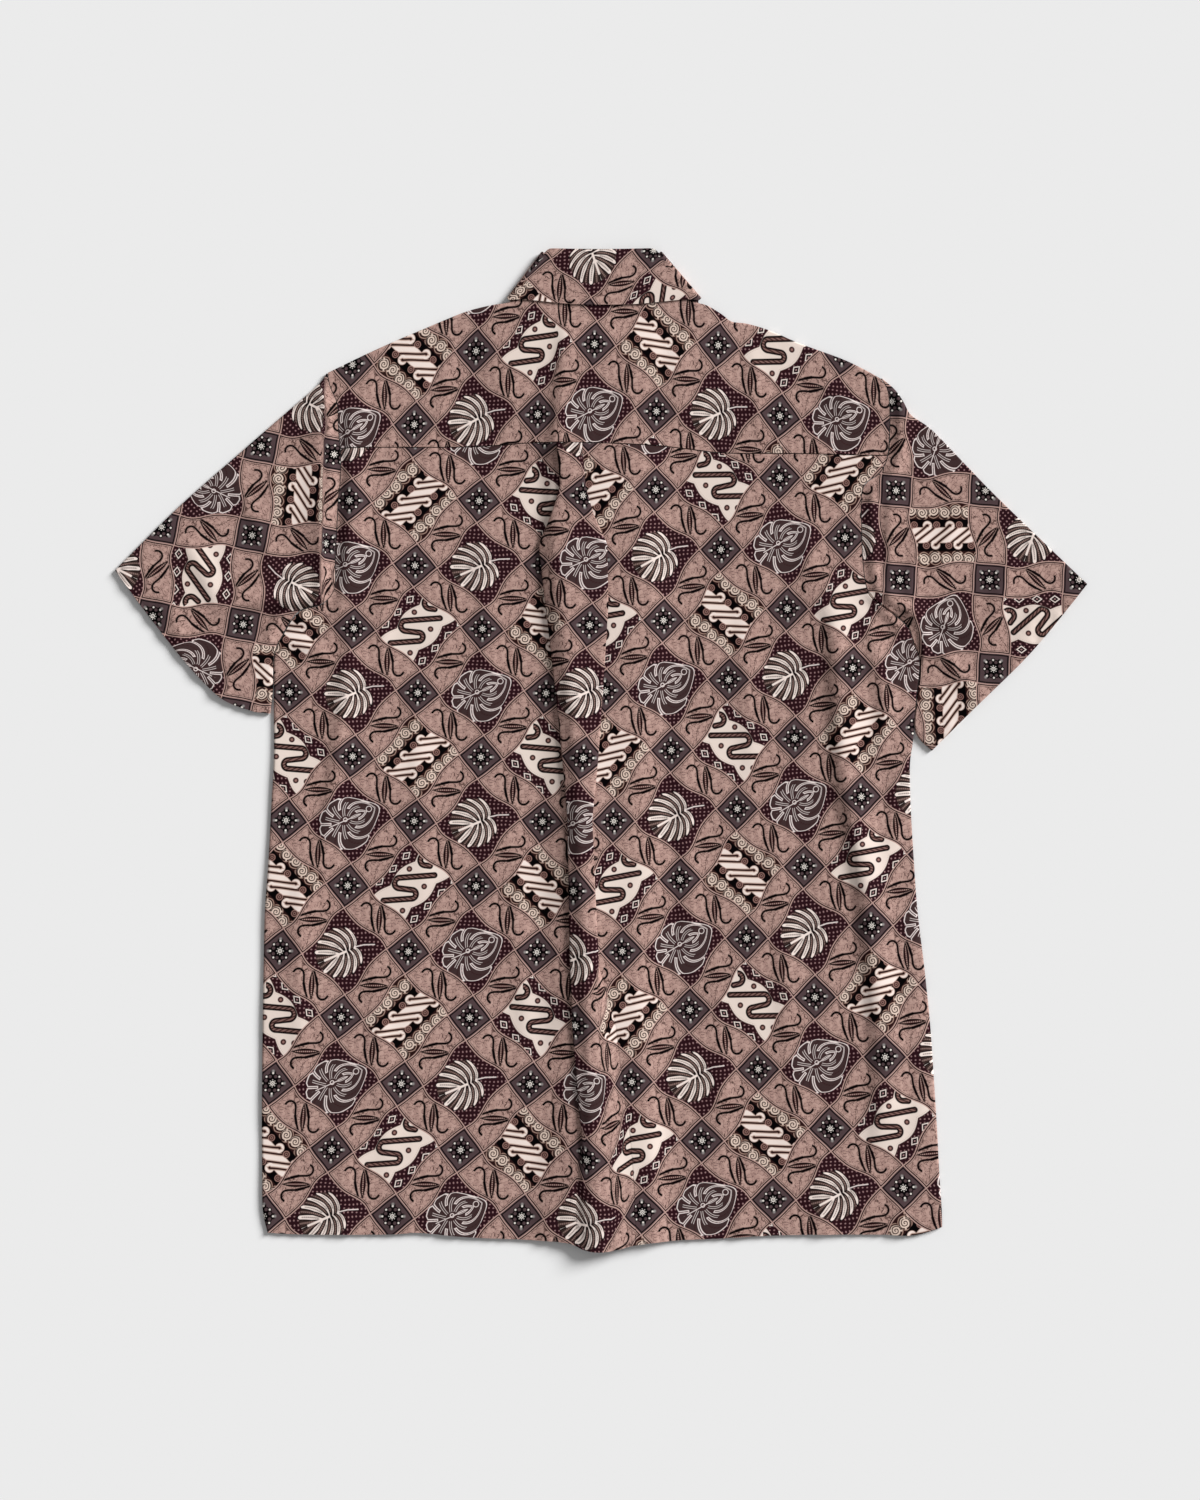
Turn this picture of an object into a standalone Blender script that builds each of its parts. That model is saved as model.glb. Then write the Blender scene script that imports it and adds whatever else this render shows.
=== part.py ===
"""Short-sleeved batik shirt laid out flat on its front, with its back up.

X runs across the shirt, Y from the hem to the collar and Z up from the surface it lies on.
The origin is on that surface, under the middle of the outline. Each cloth piece is a wall
of one thickness round a middle surface, and the pieces lie on each other in this order,
from the surface up: collar wings and buttons, left front, right front, back and yoke,
the tucks of the back pleat, and the collar's back leaf.
Lengths in this file are millimetres until a mesh is made, which is in metres.
"""

import math
from collections import namedtuple

import bmesh
import bpy
from mathutils import Vector

MM = 0.001

# Cloth and seams
WALL = 1.0
SEAM_GAP = 0.4
ARMHOLE_GAP = 0.7
FRONT_Z = WALL / 2
LAYER = 2.2
BACK_Z = FRONT_Z + LAYER

# Front closing
CENTRE = 2.6
OVERLAP = 15.0
BUTTON_RADIUS = 5.6
BUTTON_THICKNESS = 2.2
COLLAR_BUTTON_Y = 295.5
FIRST_BUTTON_Y = 226.0
BUTTON_PITCH = 88.0
FRONT_BUTTONS = 6
LEFT_FRONT_LIFT = BUTTON_THICKNESS + 0.4
RIGHT_FRONT_LIFT = LEFT_FRONT_LIFT + 1.4
LIFT_INNER = 22.0
LIFT_OUTER = 56.0
LIFT_TOP = (318.0, 350.0)

# Collar
WING_LIFT = 1.5
WING_BED_CENTRE = (2.4, 330.0)
WING_BED_RADII = (75.0, 85.0)
WING_BED_EDGE = (1.1, 1.5)
COLLAR_FALL_STEP = 1.5
RIDGE_RADIUS = 0.75
RIDGE_RUN = 1.2
SIDE_RISE = 3.5
COLLAR_LEAN = 0.056
COLLAR_LEAN_Y = 360.0

# Pleat
TUCK_STEP = 1.4
TUCK_RADIUS = TUCK_STEP / 2
SLOPE_BLEND = 2.0

# Rolled side and shoulder edges
ROLL_RADIUS = 1.4
ROLL_INSET = WALL + 0.35
FLAT_EDGE = (0.0, 0.6, WALL / 2 + ROLL_RADIUS)
SLEEVE_BEND = LAYER / 2

# Body sections from the shoulder tips to the hem. left_ and right_ are the points where the
# section meets the armhole or the side, front_x is how far the front's inner edge is from
# the centre towards its own side, and rolled is 1 where the back's edge turns down at a side.
Section = namedtuple("Section", "left_x left_y right_x right_y front_x front_y rolled")
SECTIONS = [
    Section(-218.4, 301.6, 223.2, 296.8, 65.0, 358.4, 0.0),
    Section(-216.0, 290.0, 228.5, 288.5, 64.6, 345.2, 0.0),
    Section(-210.4, 276.8, 230.4, 274.4, 53.6, 322.0, 0.0),
    Section(-209.6, 258.0, 230.4, 254.4, 32.0, 297.0, 0.0),
    Section(-208.0, 240.8, 229.0, 235.2, 12.0, 286.8, 0.0),
    Section(-207.6, 220.0, 222.4, 221.6, -OVERLAP, 283.6, 0.0),
    Section(-209.6, 200.0, 208.8, 209.0, -OVERLAP, 250.0, 0.0),
    Section(-210.8, 176.0, 208.0, 176.0, -OVERLAP, 212.0, 0.0),
    Section(-212.0, 152.0, 209.0, 150.0, -OVERLAP, 178.0, 0.0),
    Section(-212.8, 128.8, 212.0, 129.6, -OVERLAP, 148.0, 0.0),
    Section(-223.2, 116.0, 218.4, 119.2, -OVERLAP, 126.0, 0.0),
    Section(-240.8, 110.4, 243.2, 100.0, -OVERLAP, 108.0, 0.0),
    Section(-253.6, 92.0, 249.8, 84.0, -OVERLAP, 90.0, 0.0),
    Section(-260.8, 76.0, 254.6, 70.0, -OVERLAP, 70.0, 0.5),
    Section(-261.4, 50.0, 252.0, 40.0, -OVERLAP, 42.0, 1.0),
    Section(-261.6, 29.0, 249.6, 8.8, -OVERLAP, 14.0, 1.0),
    Section(-261.6, -8.0, 247.0, -12.0, -OVERLAP, -10.0, 1.0),
    Section(-263.6, -45.0, 247.6, -45.0, -OVERLAP, -45.0, 1.0),
    Section(-266.0, -90.0, 250.2, -90.0, -OVERLAP, -90.0, 1.0),
    Section(-268.8, -130.0, 253.2, -130.0, -OVERLAP, -130.0, 1.0),
    Section(-269.8, -175.0, 258.6, -175.0, -OVERLAP, -175.0, 1.0),
    Section(-270.5, -220.0, 263.2, -220.0, -OVERLAP, -220.0, 1.0),
    Section(-271.0, -265.0, 266.3, -265.0, -OVERLAP, -265.0, 1.0),
    Section(-271.2, -305.0, 268.8, -305.0, -OVERLAP, -305.0, 1.0),
    Section(-270.9, -340.0, 270.6, -340.0, -OVERLAP, -340.0, 1.0),
    Section(-270.4, -368.0, 272.4, -366.0, -OVERLAP, -367.0, 1.0),
    Section(-266.6, -385.8, 272.8, -381.2, -OVERLAP, -387.0, 1.0),
]
YOKE_SEAM_ROW = 4
YOKE_TOP_SHARE = 0.93
ARMPIT_ROW = 9
UNDERARM_ROW = 12

# Back pleat. A box of cloth lies on the panels between left_fold and right_fold, and its
# sides are tucked under it by left_tuck and right_tuck. A negative tuck is an open slope of
# that width, and rise is how much of the full height of the tucks the box keeps.
Pleat = namedtuple("Pleat", "y left_fold right_fold left_tuck right_tuck rise")
PLEAT = [
    Pleat(244.0, -35.2, -16.8, 6.0, 8.0, 1.0),
    Pleat(210.0, -31.5, -13.6, 6.0, 8.0, 1.0),
    Pleat(188.0, -38.4, -7.2, 5.0, 17.0, 1.0),
    Pleat(164.0, -48.8, 4.0, 6.0, 21.0, 1.0),
    Pleat(115.0, -43.2, 4.8, 6.0, 21.0, 1.0),
    Pleat(46.0, -35.2, 0.4, 8.0, 19.0, 1.0),
    Pleat(-6.0, -30.0, -3.2, 8.0, 14.0, 1.0),
    Pleat(-56.0, -25.6, -8.0, 6.0, 8.0, 1.0),
    Pleat(-112.0, -24.8, -5.6, 8.0, 6.0, 1.0),
    Pleat(-160.0, -24.0, -3.2, 8.0, 2.0, 1.0),
    Pleat(-220.0, -22.0, 0.0, 7.0, -12.0, 1.0),
    Pleat(-266.0, -18.4, 1.6, 3.0, -16.0, 1.0),
    Pleat(-309.0, -14.4, 5.6, -1.0, -18.0, 0.9),
    Pleat(-335.0, -13.6, 8.0, -6.0, -18.0, 0.8),
    Pleat(-372.0, -11.0, 10.0, -9.0, -18.0, 0.8),
    Pleat(-401.0, -9.0, 10.0, -10.0, -18.0, 0.9),
]

# Lower edges, left to right
Edge = namedtuple("Edge", "x y")
YOKE_SEAM = [
    Edge(-208.0, 240.8), Edge(-184.8, 241.9), Edge(-122.4, 241.9), Edge(-84.8, 243.2),
    Edge(-54.4, 245.4), Edge(-12.8, 245.4), Edge(43.2, 243.2), Edge(78.4, 239.4),
    Edge(102.4, 237.2), Edge(164.0, 236.8), Edge(192.0, 236.0), Edge(229.0, 235.2),
]
HEM = [
    Edge(-266.6, -385.8), Edge(-236.0, -387.2), Edge(-168.8, -387.2), Edge(-146.4, -385.8),
    Edge(-107.2, -389.4), Edge(-64.0, -391.2), Edge(-27.2, -393.6), Edge(-13.6, -398.9),
    Edge(-0.8, -400.6), Edge(14.4, -398.4), Edge(28.8, -395.2), Edge(59.2, -392.0),
    Edge(95.2, -390.4), Edge(147.2, -387.7), Edge(219.2, -387.2), Edge(249.6, -387.8),
    Edge(272.8, -381.2),
]
# Shoulder edges from the sleeve to the neck
LEFT_SHOULDER = [
    Edge(-218.4, 301.6), Edge(-190.4, 315.2), Edge(-164.0, 327.2), Edge(-143.2, 336.0),
    Edge(-110.4, 349.6), Edge(-90.4, 355.0), Edge(-78.0, 356.8),
]
RIGHT_SHOULDER = [
    Edge(223.2, 296.8), Edge(210.4, 304.0), Edge(192.0, 312.8), Edge(159.2, 324.8),
    Edge(135.2, 335.2), Edge(116.8, 340.8), Edge(104.0, 342.6), Edge(96.8, 348.0),
    Edge(84.8, 355.2), Edge(79.0, 356.8),
]

# Sleeve outlines: the fold from below the shoulder tip to the cuff, the cuff, and the end of
# the underarm edge, which lies beside the body before that
LEFT_SLEEVE_FOLD = [
    Edge(-225.0, 293.0), Edge(-248.0, 272.8), Edge(-284.0, 241.6), Edge(-337.6, 194.4),
    Edge(-388.4, 144.0),
]
LEFT_CUFF = [
    Edge(-368.8, 116.8), Edge(-344.8, 85.6), Edge(-324.0, 60.8), Edge(-301.6, 40.0),
    Edge(-276.8, 30.4),
]
LEFT_UNDERARM_END = [Edge(-263.6, 29.0)]
RIGHT_SLEEVE_FOLD = [
    Edge(236.0, 286.4), Edge(246.4, 268.8), Edge(264.0, 256.0), Edge(294.4, 224.8),
    Edge(320.0, 198.8), Edge(388.8, 132.8),
]
RIGHT_CUFF = [Edge(345.6, 80.0), Edge(299.6, 34.4)]
RIGHT_UNDERARM_END = [Edge(250.6, 14.0), Edge(263.8, -1.2)]

# Collar, half of it: from the centre back round the side to the centre front. Each row has
# the ridge where it turns over, the neck seam and the free edge, all measured outwards from
# the collar's centre line. part tells the leaf on the back from the wing on the front.
CollarRow = namedtuple("CollarRow", "part ridge_x ridge_y seam_x seam_y free_x free_y")
COLLAR = [
    CollarRow("back", 0.0, 400.2, 0.0, 366.8, 0.0, 355.6),
    CollarRow("back", 16.0, 400.3, 22.0, 366.4, 27.0, 356.2),
    CollarRow("back", 31.0, 400.5, 42.0, 365.4, 52.0, 358.6),
    CollarRow("back", 41.0, 400.3, 56.0, 363.2, 66.0, 359.8),
    CollarRow("side", 47.5, 398.4, 65.0, 360.0, 77.4, 361.0),
    CollarRow("wing", 43.0, 388.0, 64.6, 345.2, 74.4, 346.0),
    CollarRow("wing", 33.0, 366.0, 53.6, 322.0, 66.0, 317.0),
    CollarRow("wing", 20.0, 340.0, 32.0, 297.0, 51.5, 281.0),
    CollarRow("wing", 9.0, 320.0, 12.0, 286.8, 39.5, 258.0),
    CollarRow("wing", 1.8, 308.2, -4.0, 285.2, 34.4, 250.6),
]
STAND_END = 14.0

# Broad soft folds on the cloth that faces up: a ridge from one point to another
SoftFold = namedtuple("SoftFold", "x0 y0 x1 y1 half_width height")
SOFT_FOLDS = [
    SoftFold(-232.0, 112.0, -150.0, 60.0, 15.0, 2.6),
    SoftFold(232.0, 104.0, 176.0, 40.0, 15.0, 3.0),
    SoftFold(196.0, 222.0, 188.0, 96.0, 14.0, 2.2),
    SoftFold(226.0, 40.0, 222.0, -70.0, 14.0, 2.0),
    SoftFold(60.0, 150.0, 84.0, -220.0, 26.0, 1.6),
    SoftFold(-120.0, 40.0, -96.0, -330.0, 28.0, 1.4),
    SoftFold(150.0, -120.0, 170.0, -372.0, 24.0, 1.8),
    SoftFold(-210.0, -150.0, -196.0, -372.0, 22.0, 1.5),
    SoftFold(-30.0, 352.0, -33.0, 262.0, 12.0, 1.2),
    SoftFold(-232.0, 110.0, -300.0, 98.0, 12.0, 3.2),
    SoftFold(-330.0, 150.0, -280.0, 84.0, 20.0, 2.0),
    SoftFold(238.0, 116.0, 300.0, 92.0, 14.0, 3.2),
    SoftFold(300.0, 168.0, 322.0, 96.0, 20.0, 2.0),
]
ARMHOLE_RIDGE = (11.0, 7.0, 2.4)

COLLECTION = "batik_shirt"
CLOTH_COLOUR = (0.33, 0.21, 0.18, 1.0)
BUTTON_COLOUR = (0.12, 0.07, 0.06, 1.0)


def clear_scene():
    """Empty the file, so that the shirt is all it holds."""
    for ob in list(bpy.data.objects):
        bpy.data.objects.remove(ob, do_unlink=True)


def plain_material(name, colour, roughness):
    """A Principled material with one colour and one roughness."""
    material = bpy.data.materials.new(name)
    material.use_nodes = True
    shader = material.node_tree.nodes["Principled BSDF"]
    shader.inputs["Base Color"].default_value = colour
    shader.inputs["Roughness"].default_value = roughness
    shader.inputs["Metallic"].default_value = 0.0
    return material


def smooth(start, end, value):
    """0 at start, 1 at end, with a soft turn at both."""
    t = min(max((value - start) / (end - start), 0.0), 1.0)
    return t * t * (3.0 - 2.0 * t)


def read_row(rows, value, wanted):
    """Values of the named columns where the first column reads value, between two rows."""
    keys = [row[0] for row in rows]
    if keys[0] > keys[-1]:
        rows = rows[::-1]
        keys = keys[::-1]
    value = min(max(value, keys[0]), keys[-1])
    after = next((i for i, key in enumerate(keys) if key >= value and i > 0), len(keys) - 1)
    low, high = rows[after - 1], rows[after]
    t = (value - low[0]) / (high[0] - low[0])
    return [getattr(low, name) * (1 - t) + getattr(high, name) * t for name in wanted]


class Line:
    """A line through points in plan, read by the share of its length."""

    def __init__(self, points):
        self.points = [Vector((p[0], p[1])) for p in points]
        self.reach = [0.0]
        for a, b in zip(self.points, self.points[1:]):
            self.reach.append(self.reach[-1] + (b - a).length)

    def shares(self):
        """The share of the length at which each point lies."""
        return [length / self.reach[-1] for length in self.reach]

    def at(self, share):
        """The point at a share of the length."""
        wanted = min(max(share, 0.0), 1.0) * self.reach[-1]
        for i in range(1, len(self.points)):
            if wanted <= self.reach[i] or i == len(self.points) - 1:
                span = self.reach[i] - self.reach[i - 1]
                return self.points[i - 1].lerp(self.points[i], (wanted - self.reach[i - 1]) / span)
        return self.points[-1]

    def moved(self, distance):
        """The same line moved sideways, to the left of its direction where distance is positive."""
        moved = []
        for i, point in enumerate(self.points):
            before = self.points[max(i - 1, 0)]
            after = self.points[min(i + 1, len(self.points) - 1)]
            along = (after - before).normalized()
            moved.append(point + Vector((-along.y, along.x)) * distance)
        return Line(moved)

    def distance(self, x, y):
        """How far a point in plan is from the line."""
        best = math.inf
        for a, b in zip(self.points, self.points[1:]):
            along = b - a
            t = min(max((Vector((x, y)) - a).dot(along) / along.length_squared, 0.0), 1.0)
            best = min(best, (Vector((x, y)) - a - along * t).length)
        return best


def four_sided(first, last, low, high, u, v):
    """A point in a field with four curved sides: first and last run along v, low and high along u."""
    corners = first.at(0) * (1 - u) * (1 - v) + last.at(0) * u * (1 - v)
    corners += first.at(1) * (1 - u) * v + last.at(1) * u * v
    across = first.at(v) * (1 - u) + last.at(v) * u
    along = low.at(u) * (1 - v) + high.at(u) * v
    return across + along - corners


def body_edge(side, first, last):
    """The body's outline on one side, from one section to another."""
    rows = SECTIONS[first : last + 1]
    if side == "left":
        return [Edge(row.left_x, row.left_y) for row in rows]
    return [Edge(row.right_x, row.right_y) for row in rows]


# ---- heights of the layers


def raised(x, y, full, over_wings=WING_LIFT):
    """Lift of a layer over the buttoned edges and over the collar's wings."""
    closing = 1.0 - smooth(LIFT_INNER, LIFT_OUTER, abs(x - CENTRE))
    closing *= 1.0 - smooth(LIFT_TOP[0], LIFT_TOP[1], y)
    off_x = (x - WING_BED_CENTRE[0]) / WING_BED_RADII[0]
    off_y = (y - WING_BED_CENTRE[1]) / WING_BED_RADII[1]
    wings = 1.0 - smooth(WING_BED_EDGE[0], WING_BED_EDGE[1], math.hypot(off_x, off_y))
    return full * (1.0 - (1.0 - closing) * (1.0 - wings * over_wings / full))


def soft_folds(x, y):
    """Height of the broad soft folds at a place."""
    height = 0.0
    for fold in SOFT_FOLDS:
        start = Vector((fold.x0, fold.y0))
        along = Vector((fold.x1, fold.y1)) - start
        share = (Vector((x, y)) - start).dot(along) / along.length_squared
        if -0.1 < share < 1.1:
            off = (Vector((x, y)) - start - along * share).length / fold.half_width
            ends = smooth(-0.1, 0.25, share) * (1.0 - smooth(0.75, 1.1, share))
            height += fold.height * ends * math.exp(-off * off)
    return height


def left_front_z(x, y):
    """Middle of the left front's wall."""
    return FRONT_Z + raised(x, y, LEFT_FRONT_LIFT)


def right_front_z(x, y):
    """Middle of the right front's wall, which lies on the left front's edge."""
    return FRONT_Z + raised(x, y, RIGHT_FRONT_LIFT)


def back_z(x, y):
    """Middle of the back's and the yoke's wall where it is a single layer."""
    under_collar = smooth(330.0, 352.0, y) * (1.0 - smooth(82.0, 96.0, abs(x - CENTRE)))
    return BACK_Z + raised(x, y, RIGHT_FRONT_LIFT) + soft_folds(x, y) * (1.0 - under_collar)


# ---- mesh helpers


def grid_object(name, rows, material, tube_from=None, even=True):
    """A wall of cloth round a grid of middle points, given as rows of (x, y, z).

    tube_from is the first row in which the end meets the start again. In the rows before
    it the last columns, which close the tube, are left out.
    """
    width = len(rows[0])
    bpy.ops.mesh.primitive_grid_add(x_subdivisions=width - 1, y_subdivisions=len(rows) - 1)
    ob = bpy.context.object
    ob.name = name
    ob.data.name = name
    mesh = bmesh.new()
    mesh.from_mesh(ob.data)
    mesh.verts.ensure_lookup_table()
    points = list(mesh.verts)
    for i, row in enumerate(rows):
        for j, point in enumerate(row):
            points[i * width + j].co = Vector(point) * MM
    if tube_from is not None:
        unused = [points[i * width + width - k] for i in range(tube_from) for k in (1, 2, 3)]
        ends = {points[i * width + width - 1]: points[i * width] for i in range(tube_from, len(rows))}
        bmesh.ops.weld_verts(mesh, targetmap=ends)
        bmesh.ops.delete(mesh, geom=unused, context="VERTS")
    mesh.to_mesh(ob.data)
    mesh.free()
    for collection in list(ob.users_collection):
        collection.objects.unlink(ob)
    bpy.data.collections[COLLECTION].objects.link(ob)
    wall = ob.modifiers.new("wall", "SOLIDIFY")
    wall.thickness = WALL * MM
    wall.offset = 0.0
    wall.use_even_offset = even
    ob.data.materials.append(material)
    ob.data.shade_smooth()
    ob.data.set_sharp_from_angle(angle=math.radians(40))
    return ob


# ---- the pieces


def edge_columns(rolled):
    """Distance from the outline and drop of the three columns along a side of the back."""
    columns = []
    for flat, turn in zip(FLAT_EDGE, (0.0, math.pi / 4, math.pi / 2)):
        inset = WALL / 2 + ROLL_RADIUS * (1.0 - math.cos(turn))
        drop = ROLL_RADIUS * (1.0 - math.sin(turn))
        columns.append((flat * (1 - rolled) + inset * rolled, drop * rolled))
    return columns


def tuck_path(fold, tuck, sign):
    """Points from the top of the box down round one of its folds to the panel, as (x, level)."""
    folded = []
    depth = max(tuck, 0.0)
    for centre, bulge in ((fold, sign), (fold - sign * depth, -sign)):
        for angle in (90.0, 30.0, -30.0, -90.0):
            turn = math.radians(angle)
            level = (1.5 if centre == fold and bulge == sign else 0.5) + 0.5 * math.sin(turn)
            folded.append((centre + bulge * TUCK_RADIUS * math.cos(turn), level))
    width = max(-tuck, 0.0)
    share = min(max(1.0 + tuck / SLOPE_BLEND, 0.0), 1.0)
    points = []
    for i, (x, level) in enumerate(folded):
        run = i / (len(folded) - 1)
        slope_x = fold + sign * width * run
        slope_level = 2.0 * (1.0 - smooth(0.0, 1.0, run))
        points.append((x * share + slope_x * (1 - share), level * share + slope_level * (1 - share)))
    return points


PANEL_SHARES = (0.94, 0.8, 0.64, 0.48, 0.34, 0.205, 0.15, 0.1, 0.05)
BOX_SHARES = (0.25, 0.5, 0.75)
EDGE_FADE = {0: 1.0, 1: 0.5, 2: 0.2}


def back_row(section, from_top, from_hem):
    """One section through the back, as points from its left side to its right side."""

    def row_y(x):
        share = (x - section.left_x) / (section.right_x - section.left_x)
        y = section.left_y * (1 - share) + section.right_y * share
        for edge, steps in ((YOKE_SEAM, from_top), (HEM, from_hem)):
            straight = edge[0].y * (1 - share) + edge[-1].y * share
            y += (read_row(edge, x, ["y"])[0] - straight) * EDGE_FADE.get(steps, 0.0)
        return y

    middle_y = (section.left_y + section.right_y) / 2
    names = ["left_fold", "right_fold", "left_tuck", "right_tuck", "rise"]
    left_fold, right_fold, left_tuck, right_tuck, rise = read_row(PLEAT, middle_y, names)
    row = []

    def add(x, level=0.0, drop=0.0):
        y = row_y(x)
        row.append((x, y, back_z(x, y) + level * rise * TUCK_STEP - drop))

    columns = edge_columns(section.rolled)
    for inset, drop in columns:
        add(section.left_x + inset, drop=drop)
    panel_end = left_fold - max(-left_tuck, 0.0)
    for share in PANEL_SHARES:
        add(panel_end - (panel_end - section.left_x) * share)
    for x, level in reversed(tuck_path(left_fold, left_tuck, -1)):
        add(x, level)
    for share in BOX_SHARES:
        add(left_fold + (right_fold - left_fold) * share, 2.0 + 0.3 * math.sin(math.pi * share))
    for x, level in tuck_path(right_fold, right_tuck, 1):
        add(x, level)
    panel_start = right_fold + max(-right_tuck, 0.0)
    for share in reversed(PANEL_SHARES):
        add(panel_start + (section.right_x - panel_start) * share)
    for inset, drop in reversed(columns):
        add(section.right_x - inset, drop=drop)
    return row


def build_back(material):
    """The back panel, from the yoke seam to the hem, with its box pleat."""
    sections = SECTIONS[YOKE_SEAM_ROW:]
    last = len(sections) - 1
    rows = [back_row(section, i, last - i) for i, section in enumerate(sections)]
    rows[0] = [(x, y - SEAM_GAP, z) for x, y, z in rows[0]]
    return grid_object("back", rows[::-1], material, even=False)


def build_yoke(material):
    """The yoke, which turns down over the shoulders."""
    rows = SECTIONS[: YOKE_SEAM_ROW + 1][::-1]
    left = Line([(row.left_x, row.left_y) for row in rows])
    right = Line([(row.right_x, row.right_y) for row in rows])
    around = [row for row in COLLAR if row.part != "wing"]
    neck = [collar_plan(row, -1)[1] for row in around[::-1]]
    neck += [collar_plan(row, 1)[1] for row in around[1:]]
    top = Line(LEFT_SHOULDER + neck + RIGHT_SHOULDER[::-1])
    seam = Line(YOKE_SEAM)
    neck_from = len(LEFT_SHOULDER)
    neck_to = neck_from + len(neck)
    shares = top.shares()
    points = []
    for v in left.shares()[:-1] + [YOKE_TOP_SHARE]:
        points.append([four_sided(left, right, seam, top, u, v) for u in shares])
    grid = [[(p.x, p.y, back_z(p.x, p.y)) for p in row] for row in points]
    for turn in (math.pi / 2, math.pi / 4, 0.0):
        row = []
        for i, edge in enumerate(top.points):
            inward = (points[-1][i] - edge).normalized()
            rolled = 0.0 if neck_from <= i < neck_to else 1.0
            inset = WALL / 2 + ROLL_RADIUS * (1.0 - math.cos(turn))
            flat = ROLL_RADIUS * turn
            p = edge + inward * (inset * rolled + flat * (1 - rolled))
            drop = ROLL_RADIUS * (1.0 - math.sin(turn)) * rolled
            row.append((p.x, p.y, back_z(p.x, p.y) - drop))
        grid.append(row)
    grid[0] = [(x, y + SEAM_GAP, z) for x, y, z in grid[0]]
    return grid_object("yoke", grid, material)


# Columns of a front: shares of the plain part from the outer edge, then distances from the
# centre, past the closing, at which the cloth steps down from the buttoned edge
FRONT_SHARES = (0.0, 0.27, 0.53, 0.78)
FRONT_STEPS = (44.0, 30.0, 17.0, 6.0)
CLOSING_HALF = 12.0


def front_columns(outer, inner, front_x):
    """Shares of a front's section at which it has points, from the outer to the inner edge."""
    span = abs(outer.x - CENTRE) - front_x
    steps = [1.0 - (max(front_x, CLOSING_HALF) + step - front_x) / span for step in FRONT_STEPS]
    return [share * steps[0] for share in FRONT_SHARES] + steps + [1.0]


def build_front(name, side, height, material):
    """One front, from the shoulder to the hem, with its armhole, neckline and front edge."""
    rows = []
    last = len(SECTIONS) - 1
    for i, section in enumerate(SECTIONS):
        outer = Vector((section.left_x, section.left_y))
        inner = Vector((CENTRE - section.front_x, section.front_y))
        if side == "right":
            outer = Vector((section.right_x, section.right_y))
            inner = Vector((CENTRE + section.front_x, section.front_y))
        along = (inner - outer).normalized()
        outer += along * (ROLL_INSET * section.rolled)
        if i == 0:
            outer.y -= ROLL_INSET
            inner.y -= SEAM_GAP
        row = []
        for share in front_columns(outer, inner, section.front_x):
            p = outer.lerp(inner, share)
            if i == 0:
                shoulder = LEFT_SHOULDER if side == "left" else RIGHT_SHOULDER
                p.y = min(read_row(shoulder, p.x, ["y"])[0] - ROLL_INSET * 1.6, p.y + 4.0)
            if i == last:
                p.y = read_row(HEM, p.x, ["y"])[0] if abs(p.x - CENTRE) > 40.0 else -392.0
            row.append((p.x, p.y, height(p.x, p.y)))
        rows.append(row if side == "left" else row[::-1])
    return grid_object(name, rows[::-1], material)


def ridge_beside(line, x, y):
    """Height of the soft ridge that the sleeve cloth makes beside the armhole seam."""
    centre, half_width, height = ARMHOLE_RIDGE
    off = (line.distance(x, y) - centre) / half_width
    return height * math.exp(-off * off)


SLEEVE_STATIONS = (0.0, 0.03, 0.06, 0.1, 0.2, 0.38, 0.55, 0.72, 0.9, 1.0)


def build_sleeve(name, side, fold, cuff, underarm_end, material):
    """One sleeve, a flattened tube that is folded along the top and seamed under the arm.

    Its sections run from the armhole to the cuff. The first ones end at the lower part of
    the armhole seam, and the tube closes from the underarm point on.
    """
    outward = 1.0 if side == "right" else -1.0
    hole = Line(body_edge(side, 0, UNDERARM_ROW))
    beside = Line(body_edge(side, 0, UNDERARM_ROW + 2) + underarm_end).moved(ARMHOLE_GAP * outward)
    first = Line(beside.points[: ARMPIT_ROW + 1])
    high = Line(beside.points[ARMPIT_ROW:])
    low = Line(first.points[:1] + [Vector(point) for point in fold])
    last = Line([low.points[-1]] + [Vector(point) for point in cuff] + [high.points[-1]])
    below = high.shares()
    underarm = below[UNDERARM_ROW - ARMPIT_ROW]
    stations = sorted(set(SLEEVE_STATIONS) | set(below[1:-1]))
    columns = first.shares()[1:-1]
    rows = []
    for u in stations:
        points = [four_sided(first, last, low, high, u, v) for v in [0.0] + columns + [1.0]]
        fold_bend = bend_at(points[0], points[1])
        closing_bend = bend_at(points[-1], points[-2])
        if u < underarm:
            open_edge = points[-1] + (points[-2] - points[-1]).normalized() * (u / underarm)
            closing_bend[0] = (open_edge.x, open_edge.y, BACK_Z)
            closing_bend[-1] = (open_edge.x, open_edge.y, FRONT_Z)
        top = []
        under = []
        for p in points[1:-1]:
            ends = (p - points[0]).length
            if u >= underarm:
                ends = min(ends, (p - points[-1]).length)
            relief = soft_folds(p.x, p.y) + ridge_beside(hole, p.x, p.y)
            top.append((p.x, p.y, BACK_Z + relief * smooth(0.0, 12.0, ends)))
            under.append((p.x, p.y, FRONT_Z))
        ring = closing_bend[-1:] + under[::-1] + fold_bend[::-1] + top + closing_bend
        rows.append(ring)
    tube_from = stations.index(underarm)
    return grid_object(name, rows, material, tube_from=tube_from, even=False)


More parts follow.
